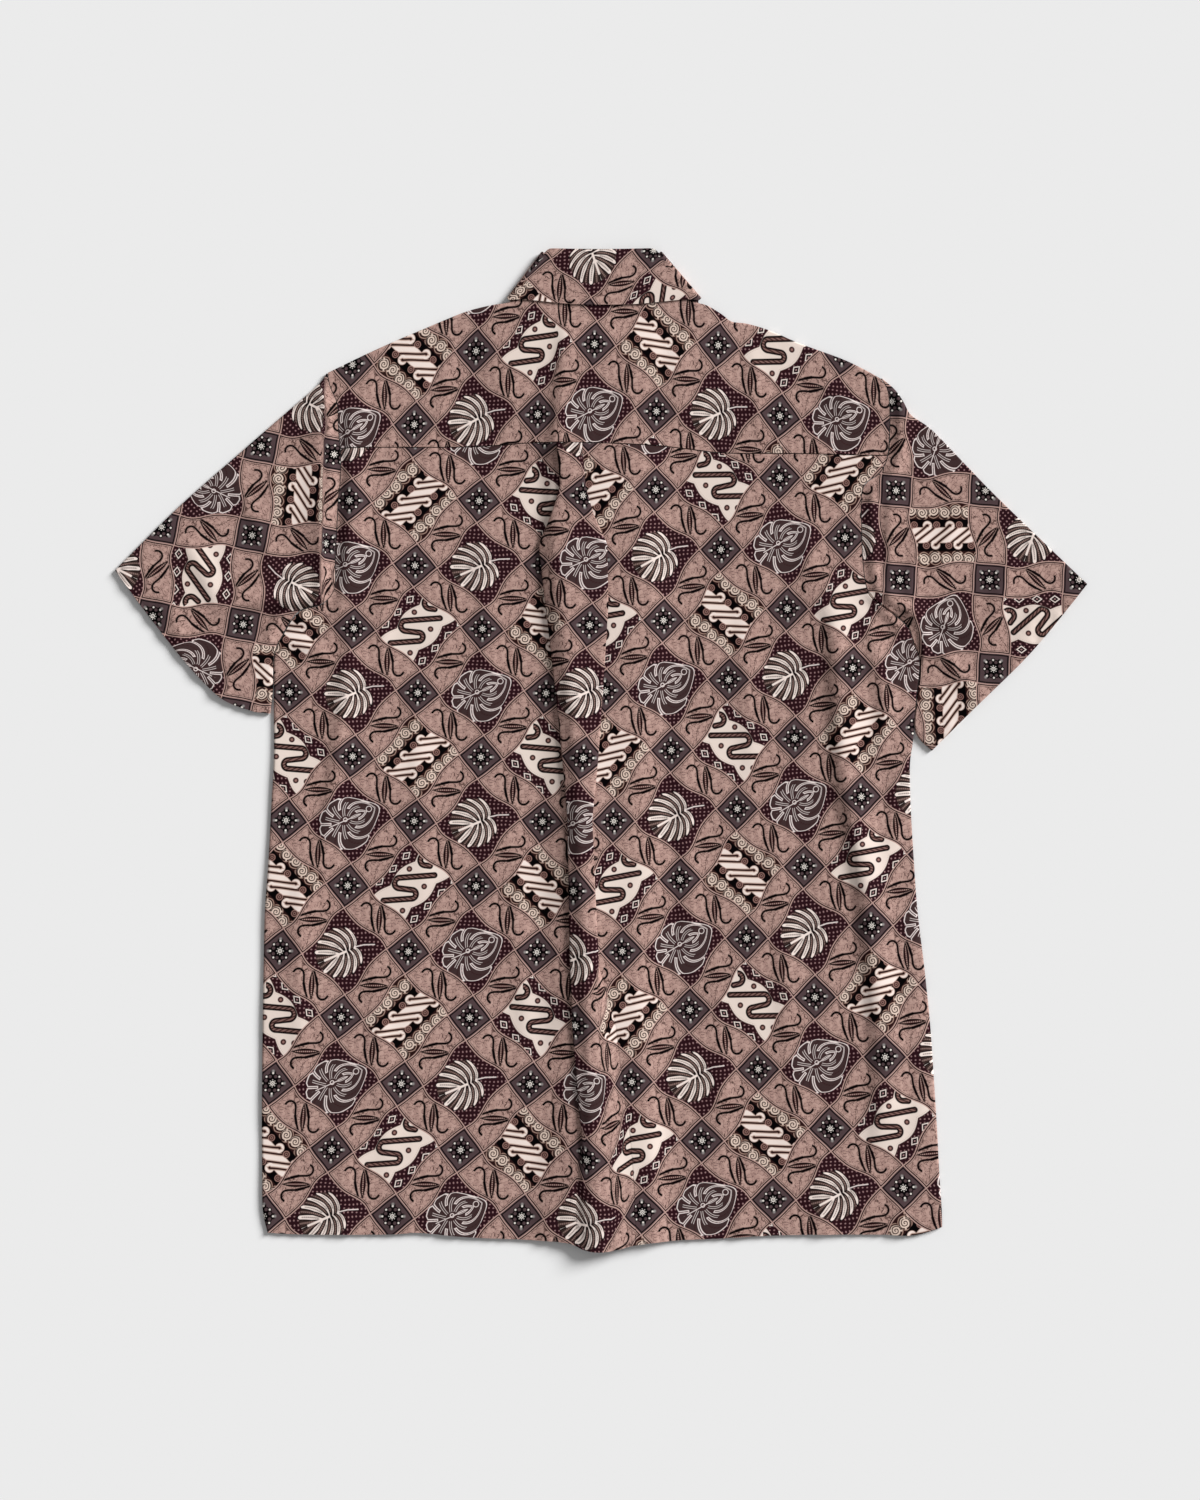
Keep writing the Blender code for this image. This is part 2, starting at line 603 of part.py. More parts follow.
def bend_at(edge, inner):
    """Points from the upper to the lower layer of a sleeve round its edge."""
    inward = (inner - edge).normalized()
    bend = []
    for angle in (90.0, 30.0, -30.0, -90.0):
        turn = math.radians(angle)
        p = edge + inward * (WALL / 2 + SLEEVE_BEND * (1.0 - math.cos(turn)))
        bend.append((p.x, p.y, FRONT_Z + SLEEVE_BEND * (1.0 + math.sin(turn))))
    return bend


def collar_plan(row, side):
    """Ridge, seam and free edge of a collar row in plan, on the left or the right half."""
    points = []
    for x, y in ((row.ridge_x, row.ridge_y), (row.seam_x, row.seam_y), (row.free_x, row.free_y)):
        lean = COLLAR_LEAN * max(y - COLLAR_LEAN_Y, 0.0)
        points.append(Vector((CENTRE + side * x - lean, y)))
    return points


SIDE_TURNS = (-90.0, -54.0, -18.0, 18.0, 54.0, 90.0)


def collar_stations():
    """The collar from its left front edge round the back to its right front edge.

    Each station is (ridge, seam, free edge, outward turn, part, side): turn is an angle that
    runs from -90 on the front to 90 on the back where the collar turns round the neck.
    """
    half = [row for row in COLLAR if row.part != "side"]
    turn_row = next(row for row in COLLAR if row.part == "side")
    wings = [row for row in half if row.part == "wing"]
    leaf = [row for row in half if row.part == "back"]
    stations = []
    for row in wings[::-1]:
        stations.append((*collar_plan(row, -1), None, "wing", -1))
    for turn in SIDE_TURNS:
        stations.append((*collar_plan(turn_row, -1), turn, "side", -1))
    for row in leaf[:0:-1]:
        stations.append((*collar_plan(row, -1), None, "back", -1))
    for row in leaf:
        stations.append((*collar_plan(row, 1), None, "back", 1))
    for turn in SIDE_TURNS[::-1]:
        stations.append((*collar_plan(turn_row, 1), turn, "side", 1))
    for row in wings:
        stations.append((*collar_plan(row, 1), None, "wing", 1))
    return stations


LEAF_Z = BACK_Z + WING_LIFT + COLLAR_FALL_STEP
WING_Z = FRONT_Z
STAND_BACK_Z = BACK_Z + WING_LIFT
STAND_FRONT_Z = FRONT_Z + WING_LIFT


def turned(point, outward, low, high, turn):
    """A point on the round side of the collar, and its height between two layers."""
    radius = (high - low) / 2
    angle = math.radians(turn)
    place = point + outward * (radius * math.cos(angle) - radius)
    return place, (high + low) / 2 + radius * math.sin(angle)


def outward_of(ridge, free, side):
    """The level direction that points away from the collar at its side."""
    along = (ridge - free).normalized()
    return Vector((side * along.y, -side * along.x)) if side > 0 else Vector((-along.y, along.x))


def build_collar_fall(material):
    """The collar that shows: the back leaf, the round sides and the two wings in one piece."""
    rows = []
    for ridge, _seam, free, turn, part, side in collar_stations():
        up = (ridge - free).normalized()
        outward = outward_of(ridge, free, side)
        root = ridge - up * (WALL / 2 + RIDGE_RADIUS)
        places = [root - up * RIDGE_RUN, root, root, ridge.lerp(free, 0.35), ridge.lerp(free, 0.7), free]
        if part == "side":
            inner = [p - outward * RIDGE_RADIUS * 2 for p in places[:2]]
            stand = [turned(p, outward, STAND_FRONT_Z, STAND_BACK_Z, turn) for p in inner]
            fall = [turned(p, outward, WING_Z, LEAF_Z, turn) for p in places[2:]]
        else:
            on_back = part == "back"
            front_height = left_front_z if side < 0 else right_front_z
            stand = [(p, STAND_BACK_Z if on_back else front_height(p.x, p.y)) for p in places[:2]]
            fall = [(p, LEAF_Z if on_back else WING_Z) for p in places[2:]]
        stand = [Vector((p.x, p.y, z)) for p, z in stand]
        fall = [Vector((p.x, p.y, z)) for p, z in fall]
        middle = (stand[1] + fall[0]) / 2
        lean = (stand[1] - fall[0]) / 2
        row = [stand[0]]
        for angle in (0.0, 45.0, 90.0, 135.0, 180.0):
            turn_over = math.radians(angle)
            over = Vector((up.x, up.y, 0.0)) * (RIDGE_RADIUS * math.sin(turn_over))
            row.append(middle + lean * math.cos(turn_over) + over)
        row += fall[1:]
        rows.append([tuple(p) for p in row])
    return grid_object("collar_fall", rows, material, even=False)


def build_collar_stand(material):
    """The band between the neck seam and the collar's ridge, which buttons at the front."""
    clear = WALL / 2 + RIDGE_RADIUS + RIDGE_RUN + SEAM_GAP
    rows = []
    for ridge, seam, free, turn, part, side in collar_stations():
        top = ridge - (ridge - free).normalized() * clear
        bottom = seam + (top - seam).normalized() * SEAM_GAP
        if part == "side":
            outward = outward_of(ridge, free, side)
            bottom = seam + (top - seam).normalized() * SIDE_RISE
            places = [p - outward * RIDGE_RADIUS * 2 for p in (bottom, bottom.lerp(top, 0.5), top)]
            row = [turned(p, outward, STAND_FRONT_Z, STAND_BACK_Z, turn) for p in places]
        else:
            places = [bottom, bottom.lerp(top, 0.5), top]
            front_height = left_front_z if side < 0 else right_front_z
            row = [(p, STAND_BACK_Z if part == "back" else front_height(p.x, p.y)) for p in places]
        rows.append([(p.x, p.y, z) for p, z in row])
    for end, side, height in ((0, 1, left_front_z), (-1, -1, right_front_z)):
        row = []
        for x, y, _z in rows[end]:
            x = CENTRE + side * STAND_END
            row.append((x, y, height(x, y)))
        rows.insert(0 if end == 0 else len(rows), row)
    return grid_object("collar_stand", rows, material, even=False)


def build_button(name, y, material):
    """A round button, flat against the surface that the shirt lies on."""
    mesh = bmesh.new()
    bmesh.ops.create_cone(
        mesh, cap_ends=True, segments=20, radius1=BUTTON_RADIUS * MM, radius2=BUTTON_RADIUS * MM,
        depth=BUTTON_THICKNESS * MM,
    )
    rims = [edge for edge in mesh.edges if abs(edge.verts[0].co.z - edge.verts[1].co.z) < MM / 10]
    bmesh.ops.bevel(mesh, geom=rims, offset=0.4 * MM, segments=2, affect="EDGES", profile=0.5)
    data = bpy.data.meshes.new(name)
    mesh.to_mesh(data)
    mesh.free()
    data.materials.append(material)
    ob = bpy.data.objects.new(name, data)
    ob.location = (CENTRE * MM, y * MM, BUTTON_THICKNESS / 2 * MM)
    bpy.data.collections[COLLECTION].objects.link(ob)
    return ob


def main():
    """Build the whole shirt."""
    clear_scene()
    bpy.context.scene.collection.children.link(bpy.data.collections.new(COLLECTION))
    cloth = plain_material("printed_cotton", CLOTH_COLOUR, 0.85)
    shell = plain_material("button_plastic", BUTTON_COLOUR, 0.35)
    build_front("front_left", "left", left_front_z, cloth)
    build_front("front_right", "right", right_front_z, cloth)
    build_back(cloth)
    build_yoke(cloth)
    build_sleeve("sleeve_left", "left", LEFT_SLEEVE_FOLD, LEFT_CUFF, LEFT_UNDERARM_END, cloth)
    build_sleeve("sleeve_right", "right", RIGHT_SLEEVE_FOLD, RIGHT_CUFF, RIGHT_UNDERARM_END, cloth)
    build_collar_stand(cloth)
    build_collar_fall(cloth)
    build_button("button_collar", COLLAR_BUTTON_Y, shell)
    for number in range(FRONT_BUTTONS):
        build_button(f"button_{number + 1}", FIRST_BUTTON_Y - BUTTON_PITCH * number, shell)


main()
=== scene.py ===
# %% [markdown]
# # A short-sleeved batik shirt, laid out on its front
#
# The shirt lies buttoned and face down, so what shows is its back: a yoke across the
# shoulders, one wide back panel with a box pleat, two sleeves and the fold of the collar.
# The imported model gives the frame: plain walls of cloth at their true size. This lesson
# dresses them, piece by piece, with finer cloth that has its soft folds, its seams and its
# patchwork print.

# %% Load the frame
import math
from collections import namedtuple

import bmesh
import bpy
import numpy as np
from mathutils import Matrix, Vector


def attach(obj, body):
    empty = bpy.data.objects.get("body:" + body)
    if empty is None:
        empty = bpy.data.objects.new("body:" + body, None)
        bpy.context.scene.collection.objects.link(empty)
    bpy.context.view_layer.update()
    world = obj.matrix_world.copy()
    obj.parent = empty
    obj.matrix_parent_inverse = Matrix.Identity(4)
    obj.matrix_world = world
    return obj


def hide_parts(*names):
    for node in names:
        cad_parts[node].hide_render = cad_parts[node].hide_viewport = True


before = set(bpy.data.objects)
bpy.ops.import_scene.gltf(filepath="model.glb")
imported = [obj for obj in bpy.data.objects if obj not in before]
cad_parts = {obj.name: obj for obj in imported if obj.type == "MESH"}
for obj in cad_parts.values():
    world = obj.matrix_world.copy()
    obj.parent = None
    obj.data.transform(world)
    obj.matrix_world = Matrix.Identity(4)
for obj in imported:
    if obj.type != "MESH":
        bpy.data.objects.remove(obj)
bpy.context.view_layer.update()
print("frame:", sorted(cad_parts))

# %% [markdown]
# ## Camera, floor and light
#
# A garment laid flat is shown from straight above with a long lens, so that the hem and the
# collar have the same scale. A large soft light stands low to the upper right. It grazes the
# cloth, and that is what makes low folds show. A pale sky fills the shadows.

# %% Camera
FLOOR_Z = -0.0002
CAMERA_HEIGHT = 2.833
CAMERA_X = -0.0008
LENS = 85.0
SENSOR_WIDTH = 36.0

camera = bpy.data.objects.new("camera", bpy.data.cameras.new("camera"))
bpy.context.scene.collection.objects.link(camera)
camera.data.lens = LENS
camera.data.sensor_width = SENSOR_WIDTH
camera.data.clip_end = 20.0
camera.location = (CAMERA_X, 0.0, CAMERA_HEIGHT)
bpy.context.scene.camera = camera
print("camera:", tuple(round(v, 4) for v in camera.location))

# %% Floor
FLOOR_SIZE = 30.0
PAPER = (0.83, 0.83, 0.83)

bpy.ops.object.select_all(action="DESELECT")
bpy.ops.mesh.primitive_plane_add(size=FLOOR_SIZE, location=(0.0, 0.0, FLOOR_Z))
floor = bpy.context.object
floor.name = "floor"
paper = bpy.data.materials.new("pale_paper")
paper.use_nodes = True
paper_shader = paper.node_tree.nodes["Principled BSDF"]
paper_shader.inputs["Base Color"].default_value = (*PAPER, 1.0)
paper_shader.inputs["Roughness"].default_value = 0.9
paper_shader.inputs["Specular IOR Level"].default_value = 0.0
floor.data.materials.append(paper)
print("floor:", floor.name)

# %% Light
SUN_TURN = 34.0
SUN_HEIGHT = 26.0
SUN_STRENGTH = 4.95
SUN_SPREAD = 24.0
SKY_STRENGTH = 0.31

sun = bpy.data.objects.new("soft_sun", bpy.data.lights.new("soft_sun", "SUN"))
sun.data.energy = SUN_STRENGTH
sun.data.angle = math.radians(SUN_SPREAD)
turn = math.radians(SUN_TURN)
lean = math.radians(90.0 - SUN_HEIGHT)
towards = Vector((math.sin(lean) * math.cos(turn), math.sin(lean) * math.sin(turn), math.cos(lean)))
sun.rotation_euler = towards.to_track_quat("Z", "Y").to_euler()
bpy.context.scene.collection.objects.link(sun)

sky = bpy.data.worlds.new("studio")
sky.use_nodes = True
sky.node_tree.nodes["Background"].inputs["Color"].default_value = (1.0, 1.0, 1.0, 1.0)
sky.node_tree.nodes["Background"].inputs["Strength"].default_value = SKY_STRENGTH
bpy.context.scene.world = sky
bpy.context.scene.view_settings.view_transform = "Standard"
print("light:", sun.name, "and", sky.name)

# %% [markdown]
# ## Shader maths as Python
#
# The print is drawn by formula, with hundreds of small sums. Wiring them by hand would be
# unreadable, so one small class wraps a socket: adding or multiplying two of them adds the
# Math node that does it. Colours go through Mix nodes, because a Math node turns them grey.


# %% A number in a material
class Reading:
    """A number or a colour in the material being made; a sum on it adds a Math node."""

    tree = None

    def __init__(self, socket):
        self.socket = socket

    @classmethod
    def node(cls, kind, settings=None, sockets=None, output=0):
        """Add any node: its settings first, then the values or links of its sockets."""
        made = cls.tree.nodes.new(kind)
        for name, value in (settings or {}).items():
            setattr(made, name, value)
        for key, value in (sockets or {}).items():
            if isinstance(value, Reading):
                cls.tree.links.new(value.socket, made.inputs[key])
            else:
                made.inputs[key].default_value = value
        return cls(made.outputs[output])

    @classmethod
    def maths(cls, operation, *values, clamp=False):
        """Add a Math node."""
        settings = {"operation": operation, "use_clamp": clamp}
        return cls.node("ShaderNodeMath", settings, dict(enumerate(values)))

    @classmethod
    def vector(cls, operation, *values, output=0):
        """Add a Vector Math node, whose second output is a number."""
        settings = {"operation": operation}
        return cls.node("ShaderNodeVectorMath", settings, dict(enumerate(values)), output)

    def __add__(self, other):
        return Reading.maths("ADD", self, other)

    def __sub__(self, other):
        return Reading.maths("SUBTRACT", self, other)

    def __mul__(self, other):
        return Reading.maths("MULTIPLY", self, other)

    def __truediv__(self, other):
        return Reading.maths("DIVIDE", self, other)

    def __pow__(self, other):
        return Reading.maths("POWER", self, other)

    def __mod__(self, other):
        return Reading.maths("FLOORED_MODULO", self, other)

    def __abs__(self):
        return Reading.maths("ABSOLUTE", self)

    def __neg__(self):
        return Reading.maths("MULTIPLY", self, -1.0)

    def __rsub__(self, other):
        return Reading.maths("SUBTRACT", other, self)

    def __rtruediv__(self, other):
        return Reading.maths("DIVIDE", other, self)

    __radd__ = __add__
    __rmul__ = __mul__


print("shader maths: ready")


# %% Helpers for masks
SOFT = 0.008


def inside(distance, edge=0.0, soft=SOFT):
    """1 where the distance is under the edge and 0 beyond it, with a soft step between."""
    if isinstance(edge, Reading):
        distance, edge = distance - edge, 0.0
    return Reading.maths("MULTIPLY_ADD", distance, -1.0 / soft, edge / soft + 0.5, clamp=True)


def least(first, *others):
    """The smallest of some readings."""
    for other in others:
        first = Reading.maths("MINIMUM", first, other)
    return first


def most(first, *others):
    """The largest of some readings."""
    for other in others:
        first = Reading.maths("MAXIMUM", first, other)
    return first


def wave(value, period, phase=0.0):
    """A cosine of the value, from -1 to 1."""
    turned = Reading.maths("MULTIPLY_ADD", value, 2 * math.pi / period, -2 * math.pi * phase / period)
    return Reading.maths("COSINE", turned)


def ramp_wave(value, period, phase=0.0):
    """Distance from the nearest crest of a row of crests, from 0 to half the period."""
    moved = Reading.maths("ADD", value, period / 2 - phase)
    return abs(moved % period - period / 2)


def choose(mask, off, on):
    """off where the mask is 0 and on where it is 1."""
    return (on - off) * mask + off


print("masks: softened over", SOFT, "of a cell")


# %% Helpers for colours and materials
def linear(red, green, blue, gain=1.0):
    """A colour given as on a screen, from 0 to 255, as the shader's own numbers."""
    values = []
    for value in (red, green, blue):
        value /= 255.0
        value = value / 12.92 if value <= 0.04045 else ((value + 0.055) / 1.055) ** 2.4
        values.append(value * gain)
    return (*values, 1.0)


def paint(under, over, mask):
    """The colour under with the colour over laid on it by a mask."""
    sockets = {"Factor": mask, 6: under, 7: over}
    return Reading.node("ShaderNodeMix", {"data_type": "RGBA"}, sockets, output=2)


def lay(colour, mask, *layers):
    """Colours painted one after another, each by its own mask inside the mask of them all."""
    for over, own in layers:
        colour = paint(colour, over, own if mask is None else own * mask)
    return colour


def start_material(name):
    """A new material, whose nodes the next readings are, and its shader."""
    material = bpy.data.materials.new(name)
    material.use_nodes = True
    Reading.tree = material.node_tree
    return material, material.node_tree.nodes["Principled BSDF"]


def finish_material(shader, colour, roughness):
    """Lead a colour and a roughness into a shader."""
    Reading.tree.links.new(colour.socket, shader.inputs["Base Color"])
    Reading.tree.links.new(roughness.socket, shader.inputs["Roughness"])


print("colours and materials: ready")


# %% Helpers for places
def place(x, y):
    """Two numbers as one point."""
    return Reading.node("ShaderNodeCombineXYZ", None, {0: x, 1: y})


def apart(point):
    """The first two numbers of a point."""
    split = Reading.node("ShaderNodeSeparateXYZ", None, {0: point}).socket.node
    return Reading(split.outputs[0]), Reading(split.outputs[1])


def away(point, x, y):
    """Distance of a point from a fixed one."""
    return Reading.vector("DISTANCE", point, (x, y, 0.0), output=1)


def along(point, x, y):
    """How far a point is in a direction."""
    return Reading.vector("DOT_PRODUCT", point, (x, y, 0.0), output=1)


def from_stroke(point, start, end):
    """Distance of a point from a straight stroke between two fixed points."""
    run = (end[0] - start[0], end[1] - start[1])
    square = run[0] ** 2 + run[1] ** 2
    reached = along(point, run[0] / square, run[1] / square)
    before = -(start[0] * run[0] + start[1] * run[1]) / square
    share = Reading.maths("ADD", reached, before, clamp=True)
    nearest = Reading.vector("MULTIPLY_ADD", share, (*run, 0.0), (*start, 0.0))
    return Reading.vector("DISTANCE", point, nearest, output=1)


def from_turn(point, centre, radius, facing):
    """Distance of a point from half a circle that bulges in a direction."""
    beside = along(point, *facing) - (centre[0] * facing[0] + centre[1] * facing[1])
    return abs(away(point, *centre) - radius) + inside(beside, 0.003, 0.008) * 0.1


print("places: ready")

# %% [markdown]
# ## The print
#
# This is a patchwork repeat, one of the oldest batik layouts: a lattice of wavy bands with
# a small flower where two bands cross, and in each large cell a slanting blade row, a cloud
# band or a broad leaf. Hand-drawn wax keeps fine pale lines between the dye baths, so
# every form here is a distance worked out by formula, and a soft step at a chosen distance
# is a line of wax. A piece's print map holds its place in the lattice: whole numbers are
# the small squares, and the cells lie between them.

# %% Colours of the dye baths
PRINT_GAIN = 1.047
BAND = linear(168, 136, 127, PRINT_GAIN)
BAND_LIGHT = linear(181, 149, 139, PRINT_GAIN)
BAND_CRACK = linear(58, 36, 33, PRINT_GAIN)
LINE_PALE = linear(178, 146, 137, PRINT_GAIN)
LINE_DARK = linear(24, 12, 14, PRINT_GAIN)
INK = linear(8, 3, 4, PRINT_GAIN)
INK_BROWN = linear(52, 26, 27, PRINT_GAIN)
SQUARE = linear(77, 61, 63, PRINT_GAIN)
SQUARE_PALE = linear(150, 144, 142, PRINT_GAIN)
BLACK = linear(4, 2, 3, PRINT_GAIN)
WHITE = linear(230, 222, 214, PRINT_GAIN)
MAROON = linear(40, 17, 22, PRINT_GAIN)
MAROON_DOT = linear(160, 124, 124, PRINT_GAIN)
CREAM = linear(231, 215, 207, PRINT_GAIN)
CREAM_LIGHT = linear(222, 206, 196, PRINT_GAIN)
PINK_CREAM = linear(212, 190, 176, PRINT_GAIN)
TAUPE = linear(52, 39, 36, PRINT_GAIN)
GREY_TAUPE = linear(60, 44, 44, PRINT_GAIN)
GREY_LINE = linear(226, 212, 208, PRINT_GAIN)
BROWN = linear(146, 110, 102, PRINT_GAIN)
BROWN_PALE = linear(172, 140, 126, PRINT_GAIN)
BROWN_DEEP = linear(40, 20, 19, PRINT_GAIN)
SNAKE = linear(54, 36, 34, PRINT_GAIN)
print("dyes: mixed for the bands, squares and cells")


# %% The lattice of wavy bands
BAND_HALF = 0.19
BAND_BULGE = 0.058
BAND_DIP = 0.016
BAND_WAIST = 0.013


def bulge(value, phase):
    """A narrow swelling once in each cell."""
    return (wave(value, 1.0, phase) * 0.5 + 0.5) ** 3.0


def lattice(i, j):
    """Places and signed distances in the lattice: the parts that the motifs are drawn in."""
    near_i = i - Reading.maths("ROUND", i)
    near_j = j - Reading.maths("ROUND", j)
    side_i = Reading.maths("SIGN", near_i)
    side_j = Reading.maths("SIGN", near_j)
    waist_i = most(1.0 - (near_j / BAND_HALF) ** 2.0, 0.0) * BAND_WAIST
    waist_j = most(1.0 - (near_i / BAND_HALF) ** 2.0, 0.0) * BAND_WAIST
    dip_i = bulge(side_i * j, 0.66) * BAND_DIP
    dip_j = bulge(side_j * i, 0.33) * BAND_DIP
    edge_i = BAND_HALF - bulge(side_i * j, 0.31) * BAND_BULGE + dip_i - waist_i
    edge_j = BAND_HALF - bulge(side_j * i, 0.68) * BAND_BULGE + dip_j - waist_j
    return near_i, near_j, abs(near_i) - edge_i, abs(near_j) - edge_j


print("bands: half width", BAND_HALF)

# %% Bands and squares
TENDRIL = [(-0.075, -0.122), (-0.010, -0.090), (0.060, -0.046), (0.128, 0.020)]
CRACKS_PER_CELL = 19.0


def draw_bands(near_i, near_j, level, across_i, across_j):
    """The bands, with crackle, an almond and two curling tendrils in each."""
    x = choose(level, across_j, across_i)
    y = choose(level, -near_i, near_j)
    blotch = Reading.node("ShaderNodeTexNoise", None, {"Vector": place(across_i, across_j), "Scale": 17.0})
    spot = place(x + across_i * 0.3 + blotch * 0.16, y - blotch * 0.1)
    sockets = {"Vector": spot, "Scale": CRACKS_PER_CELL}
    crackle = Reading.node("ShaderNodeTexVoronoi", {"feature": "DISTANCE_TO_EDGE"}, sockets)
    crack = inside(crackle, 0.035, 0.04) * inside(-blotch, -0.42, 0.06)
    length = (x - 0.018 + y) * 0.707
    breadth = abs((y - x + 0.018) * 0.707)
    almond = breadth + (length / 0.145) ** 2.0 * 0.026
    beads = inside(breadth, 0.005, 0.008) * inside(ramp_wave(length, 0.022), 0.0065) * inside(almond, 0.018)
    half_turn = Reading.maths("SIGN", x * 0.66 - y * 0.75)
    point = place(x * half_turn, y * half_turn)
    stroke = least(from_stroke(point, *TENDRIL[0:2]), from_stroke(point, *TENDRIL[1:3]) - 0.0035)
    curl = from_turn(point, (0.174, -0.020), 0.058, (0.55, 0.835))
    tendril = least(stroke, from_stroke(point, *TENDRIL[2:4]), curl)
    return lay(
        paint(BAND, BAND_LIGHT, inside(blotch, 0.46, 0.2)), None,
        (BAND_CRACK, crack * 0.9), (INK, inside(almond, 0.0315)), (INK_BROWN, inside(almond, 0.0165)),
        (BAND_LIGHT, beads), (INK, inside(tendril, 0.0125, 0.010)),
    )


def draw_square(colour, mask, near_i, near_j):
    """The small square: black petals, white tips and a ringed eye."""
    corner = place(most(abs(near_i), abs(near_j)), least(abs(near_i), abs(near_j)))
    eye = away(corner, 0.0, 0.0)
    tip = away(corner, 0.1, 0.0)
    petal = away(corner, 0.073, 0.030)
    dark = least(eye - 0.080, tip - 0.022, away(corner, 0.078, 0.078) - 0.032, petal - 0.029)
    ring = least(abs(eye - 0.019), away(corner, 0.035, 0.0), away(corner, 0.026, 0.026))
    whites = least(eye - 0.007, tip - 0.010, away(corner, 0.077, 0.077) - 0.010)
    return lay(
        paint(colour, SQUARE, mask), mask,
        (BLACK, inside(dark)), (SQUARE, inside(petal, 0.0175)), (WHITE, inside(ring, 0.0045, 0.006)),
        (SQUARE_PALE, inside(away(corner, 0.092, 0.092), 0.013, 0.02)), (WHITE, inside(whites, 0.0, 0.009)),
    )


print("bands and squares: ready")

# %% Measures of a fan leaf
LeafShape = namedtuple("LeafShape", "pivot up beyond bend first period")
SOLID_LEAF = LeafShape((0.015, -0.01), (0.37, -0.93), 0.05, 17.0, 0.26, 0.56)
OUTLINE_LEAF = LeafShape((-0.04, 0.04), (0.356, -0.934), 0.03, -9.0, 0.42, 0.53)


def leaf_frame(point, shape):
    """A fan leaf's own measures: reach from its pivot, turn from its stem, and lobe phase."""
    x, y = shape.pivot
    ax, ay = shape.up
    rib = along(point, ax, ay) - (x * ax + y * ay)
    across = along(point, -ay, ax) - (y * ax - x * ay)
    wide = abs(across) + shape.beyond
    square = rib * rib + wide * wide
    reach = square ** 0.5
    turn = Reading.maths("ARCTAN2", wide, rib)
    lobe = turn - square * (rib / reach + 1.0) * (shape.bend / 2)
    return across, reach, turn, lobe


print("leaf periods:", SOLID_LEAF.period, OUTLINE_LEAF.period)


# %% The leaf cells
def draw_solid_leaf(colour, mask, point):
    """A split leaf with cream fingers and beaded brown gaps between them."""
    across, reach, turn, lobe = leaf_frame(point, SOLID_LEAF)
    off = ramp_wave(lobe, SOLID_LEAF.period, SOLID_LEAF.first) * reach
    gap = ramp_wave(lobe, SOLID_LEAF.period, SOLID_LEAF.first + SOLID_LEAF.period / 2) * reach
    rim = away(point, -0.026, 0.045) - 0.272
    tip = rim + off * off * 18.0
    sinus = (SOLID_LEAF.first - lobe) * reach
    leaf = inside(most(rim + 0.012, sinus - 0.012), 0.0, 0.02) * mask
    beads = inside(ramp_wave(reach, 0.021), 0.0065)
    line = inside(abs(gap - 0.006), 0.0035, 0.006) * inside(-reach, -0.09)
    colour = lay(paint(colour, TAUPE, leaf), leaf, (LINE_PALE, line * (beads * 0.6 + 0.15)))
    half = least(reach * reach * 0.62 + 0.002, 0.0295)
    finger = most(off - half, tip, sinus - 0.022)
    seam = inside(off, 0.010, 0.012) * inside(-reach, -0.13) * inside(tip, -0.035)
    rib = most(abs(across) - 0.012, reach - 0.26)
    stem = from_stroke(point, (0.045, -0.11), (0.1, -0.2))
    stem = least(stem, from_stroke(point, (0.1, -0.2), (0.18, -0.285)))
    return lay(
        colour, mask, (INK, inside(finger, 0.015)), (CREAM, inside(finger)),
        (TAUPE, seam * (beads * 0.35 + 0.35)), (CREAM, inside(rib) * inside(-turn, -1.4)),
        (GREY_LINE, inside(stem, 0.0055)),
    )


def draw_outline_leaf(colour, mask, point):
    """A broad split leaf drawn with pale lines on dark cloth."""
    across, reach, _turn, lobe = leaf_frame(point, OUTLINE_LEAF)
    off = ramp_wave(lobe, OUTLINE_LEAF.period, OUTLINE_LEAF.first + OUTLINE_LEAF.period / 2) * reach
    slot = most(off - 0.009, 0.165 - reach)
    up = along(point, 0.30, -0.954)
    side = along(point, 0.954, 0.30)
    width = 0.288 - up * 0.11 - most(up - 0.06, 0.0) * 0.42
    rim = ((up / 0.345) ** 2.0 + ((side - 0.012) / width) ** 2.0) ** 0.5
    rim = (rim - 1.0) * 0.29 + inside(off, 0.02, 0.04) * 0.022
    edge = most(rim, -slot)
    beads = inside(ramp_wave(reach, 0.02), 0.006)
    fine = inside(abs(ramp_wave(lobe, 0.233, 0.1) * reach - 0.003), 0.0035) * beads * inside(edge)
    vein = ramp_wave(lobe, OUTLINE_LEAF.period, OUTLINE_LEAF.first) * reach
    veins = most(abs(vein - 0.010) - 0.0022, abs(reach - 0.155) - 0.075)
    spine = most(abs(across) - 0.004, reach - 0.19)
    low_eye = abs(away(point, 0.05, -0.235) - 0.03) - 0.0035
    pivot_eye = abs(away(point, -0.045, 0.03) - 0.02) - 0.004
    lines = least(abs(edge) - 0.0045, veins, spine, low_eye, pivot_eye)
    return lay(
        colour, mask, (GREY_TAUPE, inside(edge)), (INK_BROWN, fine * 0.9),
        (GREY_LINE, inside(lines, 0.0, 0.006)),
    )


print("leaves: ready")

# %% The blade rows
BLADE_PITCH = 0.25
HOOK = (0.108, -0.085)
SCROLL_PITCH = 0.125


